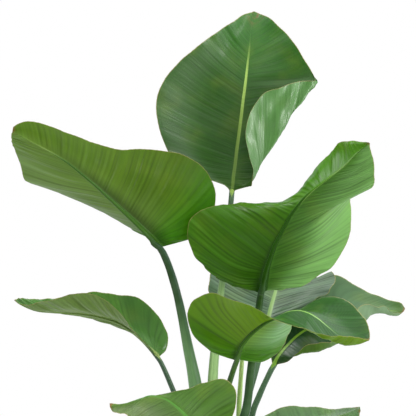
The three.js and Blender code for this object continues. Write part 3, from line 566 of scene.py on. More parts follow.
# ---- blades --------------------------------------------------------------------------------------
BLADE_ROWS = 330
RIB_COLUMNS = 6
HALF_COLUMNS = 30
TIP_END = 0.998
THICKNESS = 0.9 * MM
EDGE_THICKNESS = 0.4 * MM
EDGE_BLEND = 4 * MM
EDGE = 1.2 * MM

# The midrib: how much of its keel is gone at the tip, half its width in keels, and how far it stands
# out below and is sunk above, in keels.
KEEL_TAPER = 0.88
KEEL_POWER = 0.9
RIB_BAND = 1.5
RIB_RISE = 0.35
RIB_GROOVE = 0.16

# The margin: wavelengths and depths of its long and its fine waves, wavelengths of the notches and
# curls next to a ragged base, and the shares of the blade between which those end.
LONG_WAVE, LONG_CUT = 45 * MM, 0.9 * MM
FINE_WAVE, FINE_CUT = 9 * MM, 0.12 * MM
NOTCH_WAVE, CURL_WAVE = 26 * MM, 24 * MM
RAGGED_END = (0.1, 0.22)

# Pleats along the veins: wavelengths, heights, and the distances from the midrib between which they
# start. LOWER_AT_MARGIN is how much lower the broad ones and the grooves are at the margin.
NARROW_WAVE, NARROW_RISE, NARROW_STARTS = 12 * MM, 0.22 * MM, (3 * MM, 14 * MM)
BROAD_WAVE, BROAD_RISE, BROAD_STARTS = 30 * MM, 0.7 * MM, (6 * MM, 45 * MM)
SWELL_WAVE, SWELL_RISE, SWELL_STARTS = 95 * MM, 1.6 * MM, (10 * MM, 60 * MM)
LOWER_AT_MARGIN = 0.6

# Waves of the margin and soft folds: wavelengths, heights, and the shares of a half's width between
# which they start. The folds also start and end between shares of the blade's length.
RUFFLE_WAVE, RUFFLE_RISE, RUFFLE_STARTS = 38 * MM, 1.5 * MM, (0.6, 1)
CRINKLE_WAVES, CRINKLE_STARTS = (60 * MM, 75 * MM), (0.4, 0.75)
CRINKLE_BASE, CRINKLE_TIP = (0.1, 0.25), (0.6, 0.8)

# Grooves between pleats: how far apart they are, and their width, depth and start. SLIM holds the
# widths of a half at which its relief starts and is full.
GROOVE_SPACING = (6 * MM, 13 * MM)
GROOVE_WIDTH = 1.7 * MM
GROOVE_DEPTH = 0.5 * MM
GROOVE_STARTS = (2 * MM, 12 * MM)
SLIM = (10 * MM, 60 * MM)


def blade_lines(leaf):
    """The rows' five points as arrays: margins, middles and midrib, each (rows, 3)."""
    rows = leaf["rows"]
    left, midrib, right = (np.array([seen(row[k]) for row in rows]) for k in (0, 2, 4))
    along = unit(np.gradient(midrib, axis=0))

    def middles(k, margin, sign, bow):
        made = []
        for r, row in enumerate(rows):
            if row[k] is not BOW:
                made.append(seen(row[k]))
                continue
            across = margin[r] - midrib[r]
            normal = sign * unit(np.cross(along[r], across))
            made.append((margin[r] + midrib[r]) / 2 + normal * bow * np.linalg.norm(across))
        return np.array(made)

    left_middle = middles(1, left, 1, leaf["bows"][0])
    right_middle = middles(3, right, -1, leaf["bows"][1])
    return left, left_middle, midrib, right_middle, right


def margin_cut(margin, look, t, rng):
    """How far each row's margin is cut back: in waves, and in notches next to a ragged base."""
    walked = path_length(margin)
    cut = LONG_CUT * look["ruffles"] * (1 + wander(rng, walked, LONG_WAVE))
    cut += FINE_CUT * wander(rng, walked, FINE_WAVE)
    if look["ragged"]:
        notches = 1 + wander(rng, walked, NOTCH_WAVE)
        cut += look["ragged"] * MM * notches * (1 - smoothstep(t, *RAGGED_END))
    return np.maximum(cut, 0)


def half_blade(midrib, middle, margin, band, cut):
    """One half's points by row and by column from the midrib, and each point's distance from it."""
    dense = smooth_curve(np.stack([midrib, middle, margin]), np.linspace(0, 1, 41))
    steps = np.linalg.norm(np.diff(dense, axis=0), axis=-1)
    reached = np.concatenate([np.zeros((1, len(midrib))), np.cumsum(steps, axis=0)])
    points, distances = [], []
    for r in range(len(midrib)):
        width = max(reached[-1, r] - cut[r], 0.9 * reached[-1, r])
        edge = min(EDGE, 0.2 * width)
        near = min(band[r], 0.4 * width)
        wanted = np.concatenate([
            np.linspace(0, near, RIB_COLUMNS, endpoint=False),
            np.linspace(near, width - edge, HALF_COLUMNS - RIB_COLUMNS),
            [width],
        ])
        points.append(np.stack([np.interp(wanted, reached[:, r], dense[:, r, k]) for k in range(3)], -1))
        distances.append(wanted)
    return np.array(points), np.array(distances)


def blade_surface(leaf, look, rng):
    """The blade's middle surface, and for each of its points the row's place and its distances. `vein`
    is the place along the midrib of the vein that a point is on."""
    t = np.linspace(0, TIP_END, BLADE_ROWS)
    left, left_middle, midrib, right_middle, right = (smooth_curve(line, t) for line in blade_lines(leaf))
    keel = leaf["stalk"][-1][3] * MM * (1 - KEEL_TAPER * t**KEEL_POWER)
    band = RIB_BAND * keel
    left_half, left_from = half_blade(midrib, left_middle, left, band, margin_cut(left, look, t, rng))
    right_half, right_from = half_blade(midrib, right_middle, right, band, margin_cut(right, look, t, rng))
    grid = np.concatenate([left_half[:, ::-1], right_half[:, 1:]], axis=1)
    rib = np.concatenate([-left_from[:, ::-1], right_from[:, 1:]], axis=1)
    width = np.where(rib < 0, left_from[:, -1:], right_from[:, -1:])
    step = np.linalg.norm(np.diff(grid, axis=0), axis=-1)
    middle_step = (step[:, HALF_COLUMNS // 2] + step[:, -HALF_COLUMNS // 2]) / 2
    sweep = look["sweep"] * smoothstep(t, 0.45, 0.8)
    vein = np.concatenate([[0], np.cumsum(middle_step)])[:, None] - sweep[:, None] * np.abs(rib)
    return dict(grid=grid, rib=rib, width=width, t=t, keel=keel, band=band, vein=vein)


def grid_normals(grid):
    along = np.gradient(grid, axis=0)
    leftwards = -np.gradient(grid, axis=1)
    return unit(np.cross(along, leftwards))


def groove_lines(vein, spacing, rng):
    """How deep in a groove each point is, from 0 to 1, and the tone of the pleat that it is on, from 0
    to 1. Grooves of uneven depth follow the veins, and each pleat between two grooves has its own
    tone."""
    depth = np.zeros_like(vein)
    places, tones = [0.0], [0.5]
    place = rng.uniform(*GROOVE_SPACING)
    while place < vein.max():
        strength = rng.uniform(0.25, 1.0)
        depth = np.maximum(depth, strength * np.exp(-(((vein - place) / (GROOVE_WIDTH * spacing)) ** 2)))
        tone = rng.random()
        places += [place - 0.5 * MM, place + 1.5 * MM]
        tones += [tones[-1], tone]
        place += spacing * rng.uniform(*GROOVE_SPACING)
    return depth, np.interp(vein, places, tones)


def pleat_heights(surface, look, rng):
    """How far the blade stands off its middle surface: pleats and grooves along the veins, soft waves
    and a wavy margin. The midrib itself stays where it is. Also each point's depth in a groove and
    the tone of its pleat."""
    rib, width, vein = surface["rib"], surface["width"], surface["vein"]
    t = surface["t"][:, None]
    away = np.abs(rib)
    share = away / np.maximum(width, 1e-6)
    pleats = look["pleats"]
    height, grooves, tones = np.zeros_like(rib), np.zeros_like(rib), np.zeros_like(rib)
    for right_side in (False, True):
        here = (rib >= 0) == right_side
        narrow = NARROW_RISE * wander(rng, vein, NARROW_WAVE) * smoothstep(away, *NARROW_STARTS)
        broad = BROAD_RISE * wander(rng, vein, BROAD_WAVE) * smoothstep(away, *BROAD_STARTS)
        broad *= 1 - LOWER_AT_MARGIN * smoothstep(share, 0.7, 1)
        swell = wander(rng, vein, SWELL_WAVE) * np.cos(2.2 * share + rng.uniform(0, 6))
        swell *= SWELL_RISE * smoothstep(away, *SWELL_STARTS)
        ruffle = RUFFLE_RISE * wander(rng, vein, RUFFLE_WAVE) * smoothstep(share, *RUFFLE_STARTS)
        depth, tone = groove_lines(vein, look["spacing"], rng)
        groove = depth * smoothstep(away, *GROOVE_STARTS)
        groove *= 1 - LOWER_AT_MARGIN * smoothstep(share, 0.75, 1)
        side = pleats * (narrow + broad) + swell + look["ruffles"] * ruffle
        side -= GROOVE_DEPTH * min(pleats, 1.0) * groove
        if right_side and look["crinkle"]:
            crinkle = wander(rng, vein, CRINKLE_WAVES[0]) * wander(rng, away, CRINKLE_WAVES[1])
            crinkle *= smoothstep(share, *CRINKLE_STARTS)
            crinkle *= smoothstep(t, *CRINKLE_BASE) * (1 - smoothstep(t, *CRINKLE_TIP))
            side += look["crinkle"] * MM * crinkle
        if look["ragged"]:
            curls = wander(rng, vein, CURL_WAVE) * smoothstep(share, 0.75, 1)
            side += look["ragged"] * MM * curls * (1 - smoothstep(t, *RAGGED_END))
        height = np.where(here, side, height)
        grooves = np.where(here, groove, grooves)
        tones = np.where(here, tone, tones)
    slim = smoothstep(width, *SLIM)
    return height * slim, grooves * slim, tones


def make_blade(name, leaf, look, material, rng):
    """A blade as a closed sheet. Gives the line that its midrib follows."""
    surface = blade_surface(leaf, look, rng)
    grid, rib, width = surface["grid"], surface["rib"], surface["width"]
    keel, band, t = (surface[key][:, None] for key in ("keel", "band", "t"))
    heights, grooves, tones = pleat_heights(surface, look, rng)
    grid = grid + grid_normals(grid) * heights[..., None]
    normals = grid_normals(grid)
    rim = np.maximum(width - np.abs(rib), 0)
    thickness = EDGE_THICKNESS + (THICKNESS - EDGE_THICKNESS) * smoothstep(rim, 0, EDGE_BLEND)
    rounded = 1 - np.clip(np.abs(rib) / band, 0, 1) ** 2
    upper = grid + normals * (thickness / 2 - RIB_GROOVE * keel * rounded)[..., None]
    under = grid - normals * (thickness / 2 + RIB_RISE * keel * rounded)[..., None]
    measures = {
        "vein": surface["vein"] / MM,
        "rib": rib / MM,
        "ribbing": np.abs(rib) / band,
        "rim": rim / MM,
        "share": np.abs(rib) / np.maximum(width, 1e-6),
        "along": np.broadcast_to(t, rib.shape),
        "groove": grooves,
        "tone": tones,
    }
    attributes = {key: np.tile(values.ravel(), 2) for key, values in measures.items()}
    attributes["under"] = np.repeat([0.0, 1.0], rib.size)
    points = np.concatenate([upper.reshape(-1, 3), under.reshape(-1, 3)])
    make_piece(f"leaf_{name}", points, sheet_faces(*rib.shape), material, attributes,
               replaces=f"blade_{name}")
    middle = HALF_COLUMNS
    return dict(points=grid[:, middle], normals=normals[:, middle], keel=surface["keel"], t=surface["t"])


# ---- stalks --------------------------------------------------------------------------------------
STALK_SIDES = 40
STALK_RINGS = 110
STALK_LEAST = 0.25 * MM
FOOT_HEIGHT = 0.262
SHEATH_ENDS = (40 * MM, 230 * MM)

# The channel and the lips beside it: depth and rise in radii, widths and places in radians. Of two
# numbers the first is a plain stalk's, and the second is what a full sheath adds to it.
CHANNEL_DEPTH = (0.2, 0.38)
CHANNEL_WIDTH = (0.6, 0.1)
LIP_RISE = (0.03, 0.1)
LIP_PLACE, LIP_WIDTH = 0.95, 0.3

# The midrib under the blade: the shares of the blade between which it tapers to its end, how much
# it narrows past the blade's base, how far it takes to turn with the blade, and the distances past
# the base between which it sinks into the blade. BASE_ROWS are the rows of the blade that the
# stalk's channel faces with, and UNEVEN is how uneven a stalk's girth is.
RIB_START, RIB_END = 0.7, 0.93
NECK, NECK_LENGTH = 0.12, 30 * MM
TURN_LENGTH = 25 * MM
SINKING = (-18 * MM, 14 * MM)
BASE_ROWS = slice(6, 30)
UNEVEN, UNEVEN_WAVE = 0.02, 60 * MM


def stalk_line(foot, rest):
    """A route from its foot through the rest of its points, and its radius at each of them."""
    foot_x, foot_y, foot_radius = (value * MM for value in foot)
    route = np.array([[foot_x, foot_y, FOOT_HEIGHT]] + [seen(point) for point in rest])
    return route, np.array([foot_radius] + [point[3] * MM for point in rest])


def round_about(centres, side, across, reach, angle):
    """Rings about centres: each reach away, at each angle from its side direction."""
    return (
        centres[:, None]
        + side[:, None] * (reach * np.cos(angle))[..., None]
        + across[:, None] * (reach * np.sin(angle))[..., None]
    )


def stalk_rings(centres, facings, radii, sheath):
    """Rings square to a route, with a channel on the side that each ring's facing points to. The
    channel is deeper, and has raised lips, where sheath is near 1."""
    along = unit(np.gradient(centres, axis=0))
    channel_side = unit(facings - along * np.sum(facings * along, axis=-1, keepdims=True))
    across = np.cross(along, channel_side)
    angle = 2 * math.pi * np.arange(STALK_SIDES) / STALK_SIDES
    from_channel = np.minimum(angle, 2 * math.pi - angle)[None]
    pairs = (CHANNEL_DEPTH, CHANNEL_WIDTH, LIP_RISE)
    depth, width, rise = (plain + more * sheath[:, None] for plain, more in pairs)
    channel = depth * np.exp(-((from_channel / width) ** 2))
    lips = rise * np.exp(-(((from_channel - LIP_PLACE) / LIP_WIDTH) ** 2))
    reach = radii[:, None] * (1 - channel + lips)
    return round_about(centres, channel_side, across, reach, angle), angle


def make_stalk(name, leaf, rib_line, material, rng):
    """A stalk from its crown to its blade, and on along the underside as the blade's midrib."""
    route, girth = stalk_line(leaf["foot"], leaf["stalk"])
    t = np.linspace(0, 1, STALK_RINGS)
    on_rib = np.arange(1, int(RIB_END * BLADE_ROWS), 2)
    centres = np.concatenate([smooth_curve(route, t), rib_line["points"][on_rib]])
    length = path_length(centres)
    past_base = length - length[STALK_RINGS - 1]
    rib_radii = rib_line["keel"][on_rib] * (1 - smoothstep(rib_line["t"][on_rib], RIB_START, RIB_END))
    radii = np.concatenate([smooth_curve(girth[:, None], t)[:, 0], rib_radii])
    radii = radii * (1 - NECK * smoothstep(past_base, 0, NECK_LENGTH))
    radii = np.maximum(radii * (1 + UNEVEN * wander(rng, length, UNEVEN_WAVE)), STALK_LEAST)

    base_facing = unit(rib_line["normals"][BASE_ROWS].mean(axis=0))
    blade_facing = np.concatenate([np.tile(base_facing, (STALK_RINGS, 1)), rib_line["normals"][on_rib]])
    turn = smoothstep(past_base, 0, TURN_LENGTH)[:, None]
    facings = unit(base_facing * (1 - turn) + blade_facing * turn)
    sunk = smoothstep(past_base, *SINKING)
    centres = centres - facings * ((1 + RIB_GROOVE) * radii * sunk)[:, None]
    sheath = 1 - smoothstep(length, *SHEATH_ENDS)
    rings, angle = stalk_rings(centres, facings, radii, sheath)
    count = len(centres)
    measures = {"length": length / MM, "past_base": past_base / MM, "sheath": sheath}
    attributes = {key: with_end_values(np.repeat(values, STALK_SIDES)) for key, values in measures.items()}
    attributes["angle"] = np.concatenate([np.tile(angle, count), [0, 0]])
    make_piece(f"petiole_{name}", with_ends(rings), tube_faces(count, STALK_SIDES), material, attributes,
               replaces=f"stalk_{name}")


YOUNG_SIDES = 56
YOUNG_RINGS = 170

# The roll's outer edge: how high its step is in radii, where it starts round the foot in radians,
# how often it goes round, and how that speeds up. ROLL_UNEVEN is how uneven the roll's girth is.
ROLL_STEP = 0.17
ROLL_START = 0.9
ROLL_TURNS = 1.4
ROLL_POWER = 1.3
ROLL_UNEVEN, ROLL_WAVE = 0.03, 0.09


def make_young_leaf(material, rng):
    """A leaf that is still rolled: its outer edge runs up it as a slow spiral step."""
    route, girth = stalk_line(YOUNG_LEAF["foot"], YOUNG_LEAF["route"])
    t = np.linspace(0, 1, YOUNG_RINGS)
    centres, radii = smooth_curve(route, t), smooth_curve(girth[:, None], t)[:, 0]
    along = unit(np.gradient(centres, axis=0))
    forward = unit(np.array([0, -1, 0]) + along * along[:, 1:2])
    across = np.cross(along, forward)
    angle = 2 * math.pi * np.arange(YOUNG_SIDES) / YOUNG_SIDES
    seam = ROLL_START + 2 * math.pi * ROLL_TURNS * t**ROLL_POWER
    past_seam = ((angle[None] - seam[:, None]) / (2 * math.pi)) % 1
    reach = radii[:, None] * (1 - ROLL_STEP / 2 + ROLL_STEP * past_seam)
    reach = reach * (1 + ROLL_UNEVEN * wander(rng, t, ROLL_WAVE)[:, None])
    rings = round_about(centres, forward, across, reach, angle)
    attributes = {
        "length": with_end_values(np.repeat(path_length(centres) / MM, YOUNG_SIDES)),
        "around": with_end_values(past_seam),
    }
    make_piece("rolled_leaf", with_ends(rings), tube_faces(YOUNG_RINGS, YOUNG_SIDES), material, attributes,
               replaces="young_leaf")


# ---- crowns --------------------------------------------------------------------------------------
CROWN_BOTTOM = 0.2453
CROWN_TOP = 0.2673
CROWN_SIDES = 120
CROWN_RINGS = 22

# A stump's shape, as shares of its half widths: how three-sided it is, how it bulges, how small its
# top is, and the depths of its ring scars, of their unevenness and of its lumps.
THREE_SIDED = 0.05
FOOT_SHARE, BULGE = 0.96, 0.07
SHOULDER_START, SHOULDER_SPAN, TOP_SHARE = 0.55, 0.47, 0.12
SCAR_WAVES, SCAR_DEPTH = 34, 0.018
UNEVEN_SCARS, SCAR_WAVE = 0.012, 0.13
LUMPS, LUMP_TURN, LUMP_LEVEL = 0.03, 0.9, 0.6

# The papery sheaths round a crown: half their span in radians, their height in millimetres, how
# they narrow, lean out and curl in towards the top, how ragged and crumpled they are, and in
# millimetres how thick they are at the foot and how much thinner at the top.
SCALES_EACH = 5
SCALE_ROWS = 34
SCALE_COLUMNS = 22
SCALE_SUNK = 2 * MM
SCALE_SPANS, SCALE_HEIGHTS = (0.42, 0.6), (26, 58)
SCALE_TIP, SCALE_POWER = 0.93, 2.4
SCALE_REACH, SCALE_LEANS, SCALE_CURL = 1.04, (0.0, 0.12), 0.04
SCALE_RAGGED, RAGGED_WAVE = 0.05, 0.35
SCALE_CRUMPLE, CRUMPLE_WAVE = 0.012, 0.16
SCALE_FOOT_THICK, SCALE_THINNING = 1.1, 0.7


def crown_reach(crown, angle):
    """How far a crown reaches at each angle, against its half widths: it is slightly three-sided."""
    return 1 + THREE_SIDED * np.cos(3 * angle + crown["turn"])


def crown_points(crown, reach, angle, height):
    """Points at an angle, a reach and a height about a crown's middle."""
    middle, half = np.array(crown["middle"]) * MM, np.array(crown["half_widths"]) * MM
    return np.stack([
        middle[0] + half[0] * reach * np.cos(angle),
        middle[1] + half[1] * reach * np.sin(angle),
        np.broadcast_to(height, reach.shape),
    ], axis=-1)


def make_crown(name, crown, material, rng):
    """A short stump with ring scars."""
    angle = 2 * math.pi * np.arange(CROWN_SIDES) / CROWN_SIDES
    level = np.linspace(0, 1, CROWN_RINGS)
    past_shoulder = np.clip(level - SHOULDER_START, 0, 1) / SHOULDER_SPAN
    shoulder = np.sqrt(np.clip(1 - past_shoulder**2, 0, 1))
    bulge = FOOT_SHARE + BULGE * np.sin(math.pi * level)
    spread = bulge * (TOP_SHARE + (1 - TOP_SHARE) * shoulder)
    scars = SCAR_DEPTH * np.sin(level * SCAR_WAVES) + UNEVEN_SCARS * wander(rng, level, SCAR_WAVE)
    lumps = LUMPS * wander(rng, angle, LUMP_TURN)[None] * wander(rng, level, LUMP_LEVEL)[:, None]
    reach = crown_reach(crown, angle)[None] * (spread + scars)[:, None] + lumps
    rings = crown_points(crown, reach, angle, (CROWN_BOTTOM + (CROWN_TOP - CROWN_BOTTOM) * level)[:, None])
    make_piece(f"stump_{name}", with_ends(rings), tube_faces(CROWN_RINGS, CROWN_SIDES), material,
               replaces=f"crown_{name}")


def make_scales(name, crown, material, rng):
    """Dry papery sheaths that stand round a crown, each a curved scale with a ragged top."""
    points, faces, dryness = [], [], []
    for k in range(SCALES_EACH):
        centre = 2 * math.pi * (k + rng.uniform(-0.25, 0.25)) / SCALES_EACH
        span, height = rng.uniform(*SCALE_SPANS), rng.uniform(*SCALE_HEIGHTS) * MM
        level = np.linspace(0, 1, SCALE_ROWS)[:, None]
        share = np.linspace(1, -1, SCALE_COLUMNS)[None]
        narrowing = np.sqrt(np.clip(1 - SCALE_TIP * level**SCALE_POWER, 0, 1))
        angle = centre + span * share * narrowing
        lean = SCALE_REACH + rng.uniform(*SCALE_LEANS) * level**2 - SCALE_CURL * share**2 * level
        ragged = 1 + SCALE_RAGGED * wander(rng, share[0], RAGGED_WAVE)[None] * level
        crumple = SCALE_CRUMPLE * wander(rng, angle, CRUMPLE_WAVE) * level
        reach = crown_reach(crown, angle) * lean + crumple
        face = crown_points(crown, reach, angle, CROWN_BOTTOM - SCALE_SUNK + height * level * ragged)
        normals = grid_normals(face)
        thickness = (SCALE_FOOT_THICK - SCALE_THINNING * level)[..., None] * MM
        start = sum(len(part) for part in points)
        points.append((face + normals * thickness / 2).reshape(-1, 3))
        points.append((face - normals * thickness / 2).reshape(-1, 3))
        quads = sheet_faces(SCALE_ROWS, SCALE_COLUMNS)
        faces += [tuple(start + index for index in quad) for quad in quads]
        dryness.append(np.tile(np.broadcast_to(level, angle.shape).ravel(), 2))
    make_piece(f"sheaths_{name}", np.concatenate(points), faces, material,
               {"dry": np.concatenate(dryness)})


# ---- pot and soil --------------------------------------------------------------------------------
# The pot's sizes, and its outline's corners as (radius, height, rounding), in millimetres.
POT_HEIGHT = 270
POT_FLOOR = 12
POT_INNER_RIM = 138
POT_INNER_FOOT = 101
POT_OUTLINE = [
    (0, 0, 0), (104, 0, 2), (108, 5, 4), (145, 243, 1.2), (150, 247, 1.6), (150, POT_HEIGHT, 4.6),
    (POT_INNER_RIM, POT_HEIGHT, 3), (POT_INNER_FOOT, POT_FLOOR, 6), (0, POT_FLOOR, 0),
]
POT_SEGMENTS = 220
POT_WOBBLE = 0.0012

# The soil's heights, the gap to the pot in millimetres, the reaches between which it slopes down to
# its edge, and its crumbs as (distance apart, height).
SOIL_TOP = 245 * MM
SOIL_EDGE = 241 * MM
SOIL_BOTTOM = 12.3 * MM
SOIL_GAP = 0.6
SOIL_RINGS = 96
SOIL_SEGMENTS = 240
SOIL_SLOPE = (86 * MM, 136 * MM)
CRUMBS = [(13 * MM, 2.6 * MM), (5 * MM, 1.7 * MM), (2.4 * MM, 1.0 * MM), (1.3 * MM, 0.6 * MM)]
CRUMBS_SUNK = 0.6

# Chips: how many and how far out they lie, half their length in millimetres, the share of big ones
# and how much bigger those are, their widths and heights against the length, how dented they are,
# how far they tip over in radians, and how high their middles lie, against half the length.
CHIPS = 1100
CHIPS_REACH = 130 * MM
CHIP_SIZES = (0.9, 2.6)
BIG_CHIPS, BIGGER = 0.12, 1.2
CHIP_WIDTHS, CHIP_HEIGHTS = (0.4, 0.9), (0.3, 0.6)
CHIP_DENTS = 0.28
CHIP_TILT = 0.5
CHIP_RAISED = 0.2


def rounded_outline(corners, steps=7, spacing=6 * MM):
    """An outline's points in metres, from corners (radius, height, rounding) in millimetres."""
    corners = np.array(corners) * MM
    points = [corners[0, :2]]
    for before, corner, after in zip(corners, corners[1:], corners[2:]):
        come, leave = unit(before[:2] - corner[:2]), unit(after[:2] - corner[:2])
        start, end = corner[:2] + come * corner[2], corner[:2] + leave * corner[2]
        gap = np.linalg.norm(start - points[-1])
        fill = np.linspace(0, 1, max(int(gap / spacing), 1), endpoint=False)[1:]
        points += [points[-1] + (start - points[-1]) * share for share in fill]
        for w in np.linspace(0, 1, steps):
            points.append((1 - w) ** 2 * start + 2 * w * (1 - w) * corner[:2] + w**2 * end)
    points.append(corners[-1, :2])
    return np.array(points)


def turned(outline, segments):
    """Points and faces of an outline turned about the axis, on which its first and last point are."""
    angle = 2 * math.pi * np.arange(segments) / segments
    inner = outline[1:-1]
    rings = np.stack([
        inner[:, 0][:, None] * np.cos(angle),
        inner[:, 0][:, None] * np.sin(angle),
        np.broadcast_to(inner[:, 1][:, None], (len(inner), segments)),
    ], axis=-1)
    ends = np.array([[0, 0, outline[0, 1]], [0, 0, outline[-1, 1]]])
    return rings, ends, tube_faces(len(inner), segments)


def make_pot(material, rng):
    rings, ends, faces = turned(rounded_outline(POT_OUTLINE), POT_SEGMENTS)
    angle = 2 * math.pi * np.arange(POT_SEGMENTS) / POT_SEGMENTS
    wobble = 1 + POT_WOBBLE * np.cos(2 * angle + rng.uniform(0, 6)) * smoothstep(rings[:, :1, 2], 0, 0.2)
    rings[..., :2] *= wobble[..., None]
    make_piece("planter", np.concatenate([rings.reshape(-1, 3), ends]), faces, material,
               replaces="pot")


def inside_pot(z):
    """The radius at a height that fills the pot, but for a small gap."""
    rise = (z / MM - POT_FLOOR) / (POT_HEIGHT - POT_FLOOR)
    return (POT_INNER_FOOT + (POT_INNER_RIM - POT_INNER_FOOT) * rise - SOIL_GAP) * MM


def soil_height(rng):
    """The soil's surface as a function of x and y: level, lower at the edge, and crumbly."""
    seeds = [rng.integers(1 << 30) for _ in CRUMBS]

    def height(x, y):
        total = SOIL_TOP - (SOIL_TOP - SOIL_EDGE) * smoothstep(np.hypot(x, y), *SOIL_SLOPE)
        for seed, (size, rise) in zip(seeds, CRUMBS):
            bumps = hills(np.random.default_rng(seed), x + 1, y + 1, size)
            total = total + rise * (bumps - CRUMBS_SUNK)
        return total

    return height


def make_soil(material, height):
    """The soil: crumbly above, and filling the pot below."""
    angle = 2 * math.pi * np.arange(SOIL_SEGMENTS) / SOIL_SEGMENTS
    reach = np.linspace(1, 0, SOIL_RINGS, endpoint=False)[:, None] * inside_pot(SOIL_EDGE)
    x, y = reach * np.cos(angle), reach * np.sin(angle)
    top = np.stack([x, y, height(x, y)], axis=-1)
    low = inside_pot(SOIL_BOTTOM)
    base = np.stack([low * np.cos(angle), low * np.sin(angle), np.full_like(angle, SOIL_BOTTOM)], axis=-1)
    rings = np.concatenate([base[None], top])
    points = np.concatenate([rings.reshape(-1, 3), [[0, 0, SOIL_BOTTOM]], [rings[-1].mean(axis=0)]])
    make_piece("potting_mix", points, tube_faces(len(rings), SOIL_SEGMENTS), material,
               replaces="soil")


def make_chips(material, height, rng):
    """Bark chips and grit that lie on the soil: dented balls, each with its own size and turn."""
    ball = bmesh.new()
    bmesh.ops.create_icosphere(ball, subdivisions=1, radius=1.0)
    corners = np.array([vertex.co[:] for vertex in ball.verts])
    ball_faces = [[vertex.index for vertex in face.verts] for face in ball.faces]
    ball.free()
    chips, faces, kinds = [], [], []
    for k in range(CHIPS):
        away, turn = math.sqrt(rng.uniform(0, 1)) * CHIPS_REACH, rng.uniform(0, 2 * math.pi)
        x, y = away * math.cos(turn), away * math.sin(turn)
        size = rng.uniform(*CHIP_SIZES) * MM * (1 + BIGGER * (rng.random() < BIG_CHIPS))
        stretch = np.array([1.0, rng.uniform(*CHIP_WIDTHS), rng.uniform(*CHIP_HEIGHTS)]) * size
        lump = corners * (1 + rng.uniform(-CHIP_DENTS, CHIP_DENTS, (len(corners), 1))) * stretch
        spin, tilt = rng.uniform(0, 2 * math.pi), rng.uniform(-CHIP_TILT, CHIP_TILT)
        turned_lump = np.array(mathutils.Euler((tilt, tilt, spin)).to_matrix()) @ lump.T
        raised = float(height(np.array(x), np.array(y))) + CHIP_RAISED * size
        chips.append(turned_lump.T + [x, y, raised])
        faces += [tuple(k * len(corners) + index for index in face) for face in ball_faces]
        kinds.append(np.full(len(corners), rng.random()))
    piece = make_piece("bark_chips", np.concatenate(chips), faces, material,
                       {"kind": np.concatenate(kinds)})
    piece.data.shade_flat()


# ---- materials -----------------------------------------------------------------------------------
def colour(values):
    """Linear red, green, blue and 1 from values out of 255."""
    shares = np.array(values) / 255
    linear = np.where(shares <= 0.04045, shares / 12.92, ((shares + 0.055) / 1.055) ** 2.4)
    return (*linear.tolist(), 1.0)


class Shading:
    """The node tree of a material or a world, with one short call for each kind of node it uses. The
    meshes' own attributes are in millimetres, and `place` and `height` are in metres."""

    def __init__(self, owner):
        self.owner = owner
        owner.use_nodes = True
        self.tree = owner.node_tree
        self.tree.nodes.clear()

    def set(self, socket, value):
        if isinstance(value, bpy.types.NodeSocket):
            self.tree.links.new(value, socket)
        else:
            socket.default_value = value

    def node(self, kind, inputs, output=0, **settings):
        made = self.tree.nodes.new(kind)
        for key, value in settings.items():
            setattr(made, key, value)
        for key, value in inputs.items():
            self.set(made.inputs[key], value)
        return made.outputs[output] if made.outputs else None

    def attribute(self, name):
        return self.node("ShaderNodeAttribute", {}, 2, attribute_type="GEOMETRY", attribute_name=name)

    def place(self):
        return self.node("ShaderNodeTexCoord", {}, 3)

    def math(self, operation, *values):
        return self.node("ShaderNodeMath", dict(enumerate(values)), operation=operation)

    def step(self, value, low, high, start=0.0, end=1.0):
        inputs = {"Value": value, "From Min": low, "From Max": high, "To Min": start, "To Max": end}
        return self.node("ShaderNodeMapRange", inputs, interpolation_type="SMOOTHSTEP")

    def vector(self, x, y, z=0.0):
        return self.node("ShaderNodeCombineXYZ", {0: x, 1: y, 2: z})

    def noise(self, vector, scale, detail=3.0, roughness=0.5):
        inputs = {"Vector": vector, "Scale": scale, "Detail": detail, "Roughness": roughness}
        return self.node("ShaderNodeTexNoise", inputs)

    def mix(self, factor, first, second, blend="MIX"):
        inputs = {0: factor, 6: first, 7: second}
        return self.node("ShaderNodeMix", inputs, 2, data_type="RGBA", blend_type=blend)

    def bump(self, height, strength, distance):
        return self.node("ShaderNodeBump", {"Height": height, "Strength": strength, "Distance": distance})

    def height(self):
        return self.node("ShaderNodeSeparateXYZ", {0: self.place()}, 2)

    def principled(self, **inputs):
        names = {key: key.replace("_", " ").title().replace("Ior", "IOR") for key in inputs}
        return self.node("ShaderNodeBsdfPrincipled", {names[key]: inputs[key] for key in inputs})

    def finish(self, shader, output="ShaderNodeOutputMaterial"):
        self.node(output, {0: shader})
        return self.owner


WARM_CLOUD = (128, 142, 40)
FOLD_DARK = (14, 34, 8)
RIM_PALE = (178, 180, 112)
RIM_BROWN = (150, 112, 66)
SCORCHED = (124, 96, 52)

# A blade's patterns: veins to the millimetre, drawn out along each vein, and patches to the metre.
VEIN_STRETCH = 0.03
FINE_VEINS, FINE_CONTRAST = 0.24, (0.34, 0.66)
BROAD_VEINS, BROAD_CONTRAST = 0.07, (0.32, 0.68)
CLOUDS, WARM_CLOUDS, WARM_SHARE = 16.0, (0.45, 0.75), 0.35
RIM_PATCHES = 40.0
SCORCH_PATCHES, SCORCH_CONTRAST = 90.0, (0.4, 0.6)

# A blade's tone: plain, with its veins drawn in full, and what each pattern adds to it.
PLAIN_TONE = 0.92
VEINED_TONE = -0.21
FINE_TONE = 0.16
BROAD_TONE = 0.12
PLEAT_TONE = 0.14
# The grooves' darkening is painted shade inside them.
GROOVE_PAINTED_SHADE = -0.34
CLOUD_TONE = 0.16

# The shares of a blade's length between which something starts or ends.
TIP_SHADE_STARTS = (0.55, 0.75)
TIP_COLOUR_STARTS = (0.7, 0.95)
SCORCH_STARTS = (0.955, 0.99)
FOLD_SHADE_ENDS = (0.6, 0.95)
RIB_BASE_ENDS = (0.42, 0.75)
RIDGE_FADE = 0.12
RIB_ENDS = (0.78, 0.95)

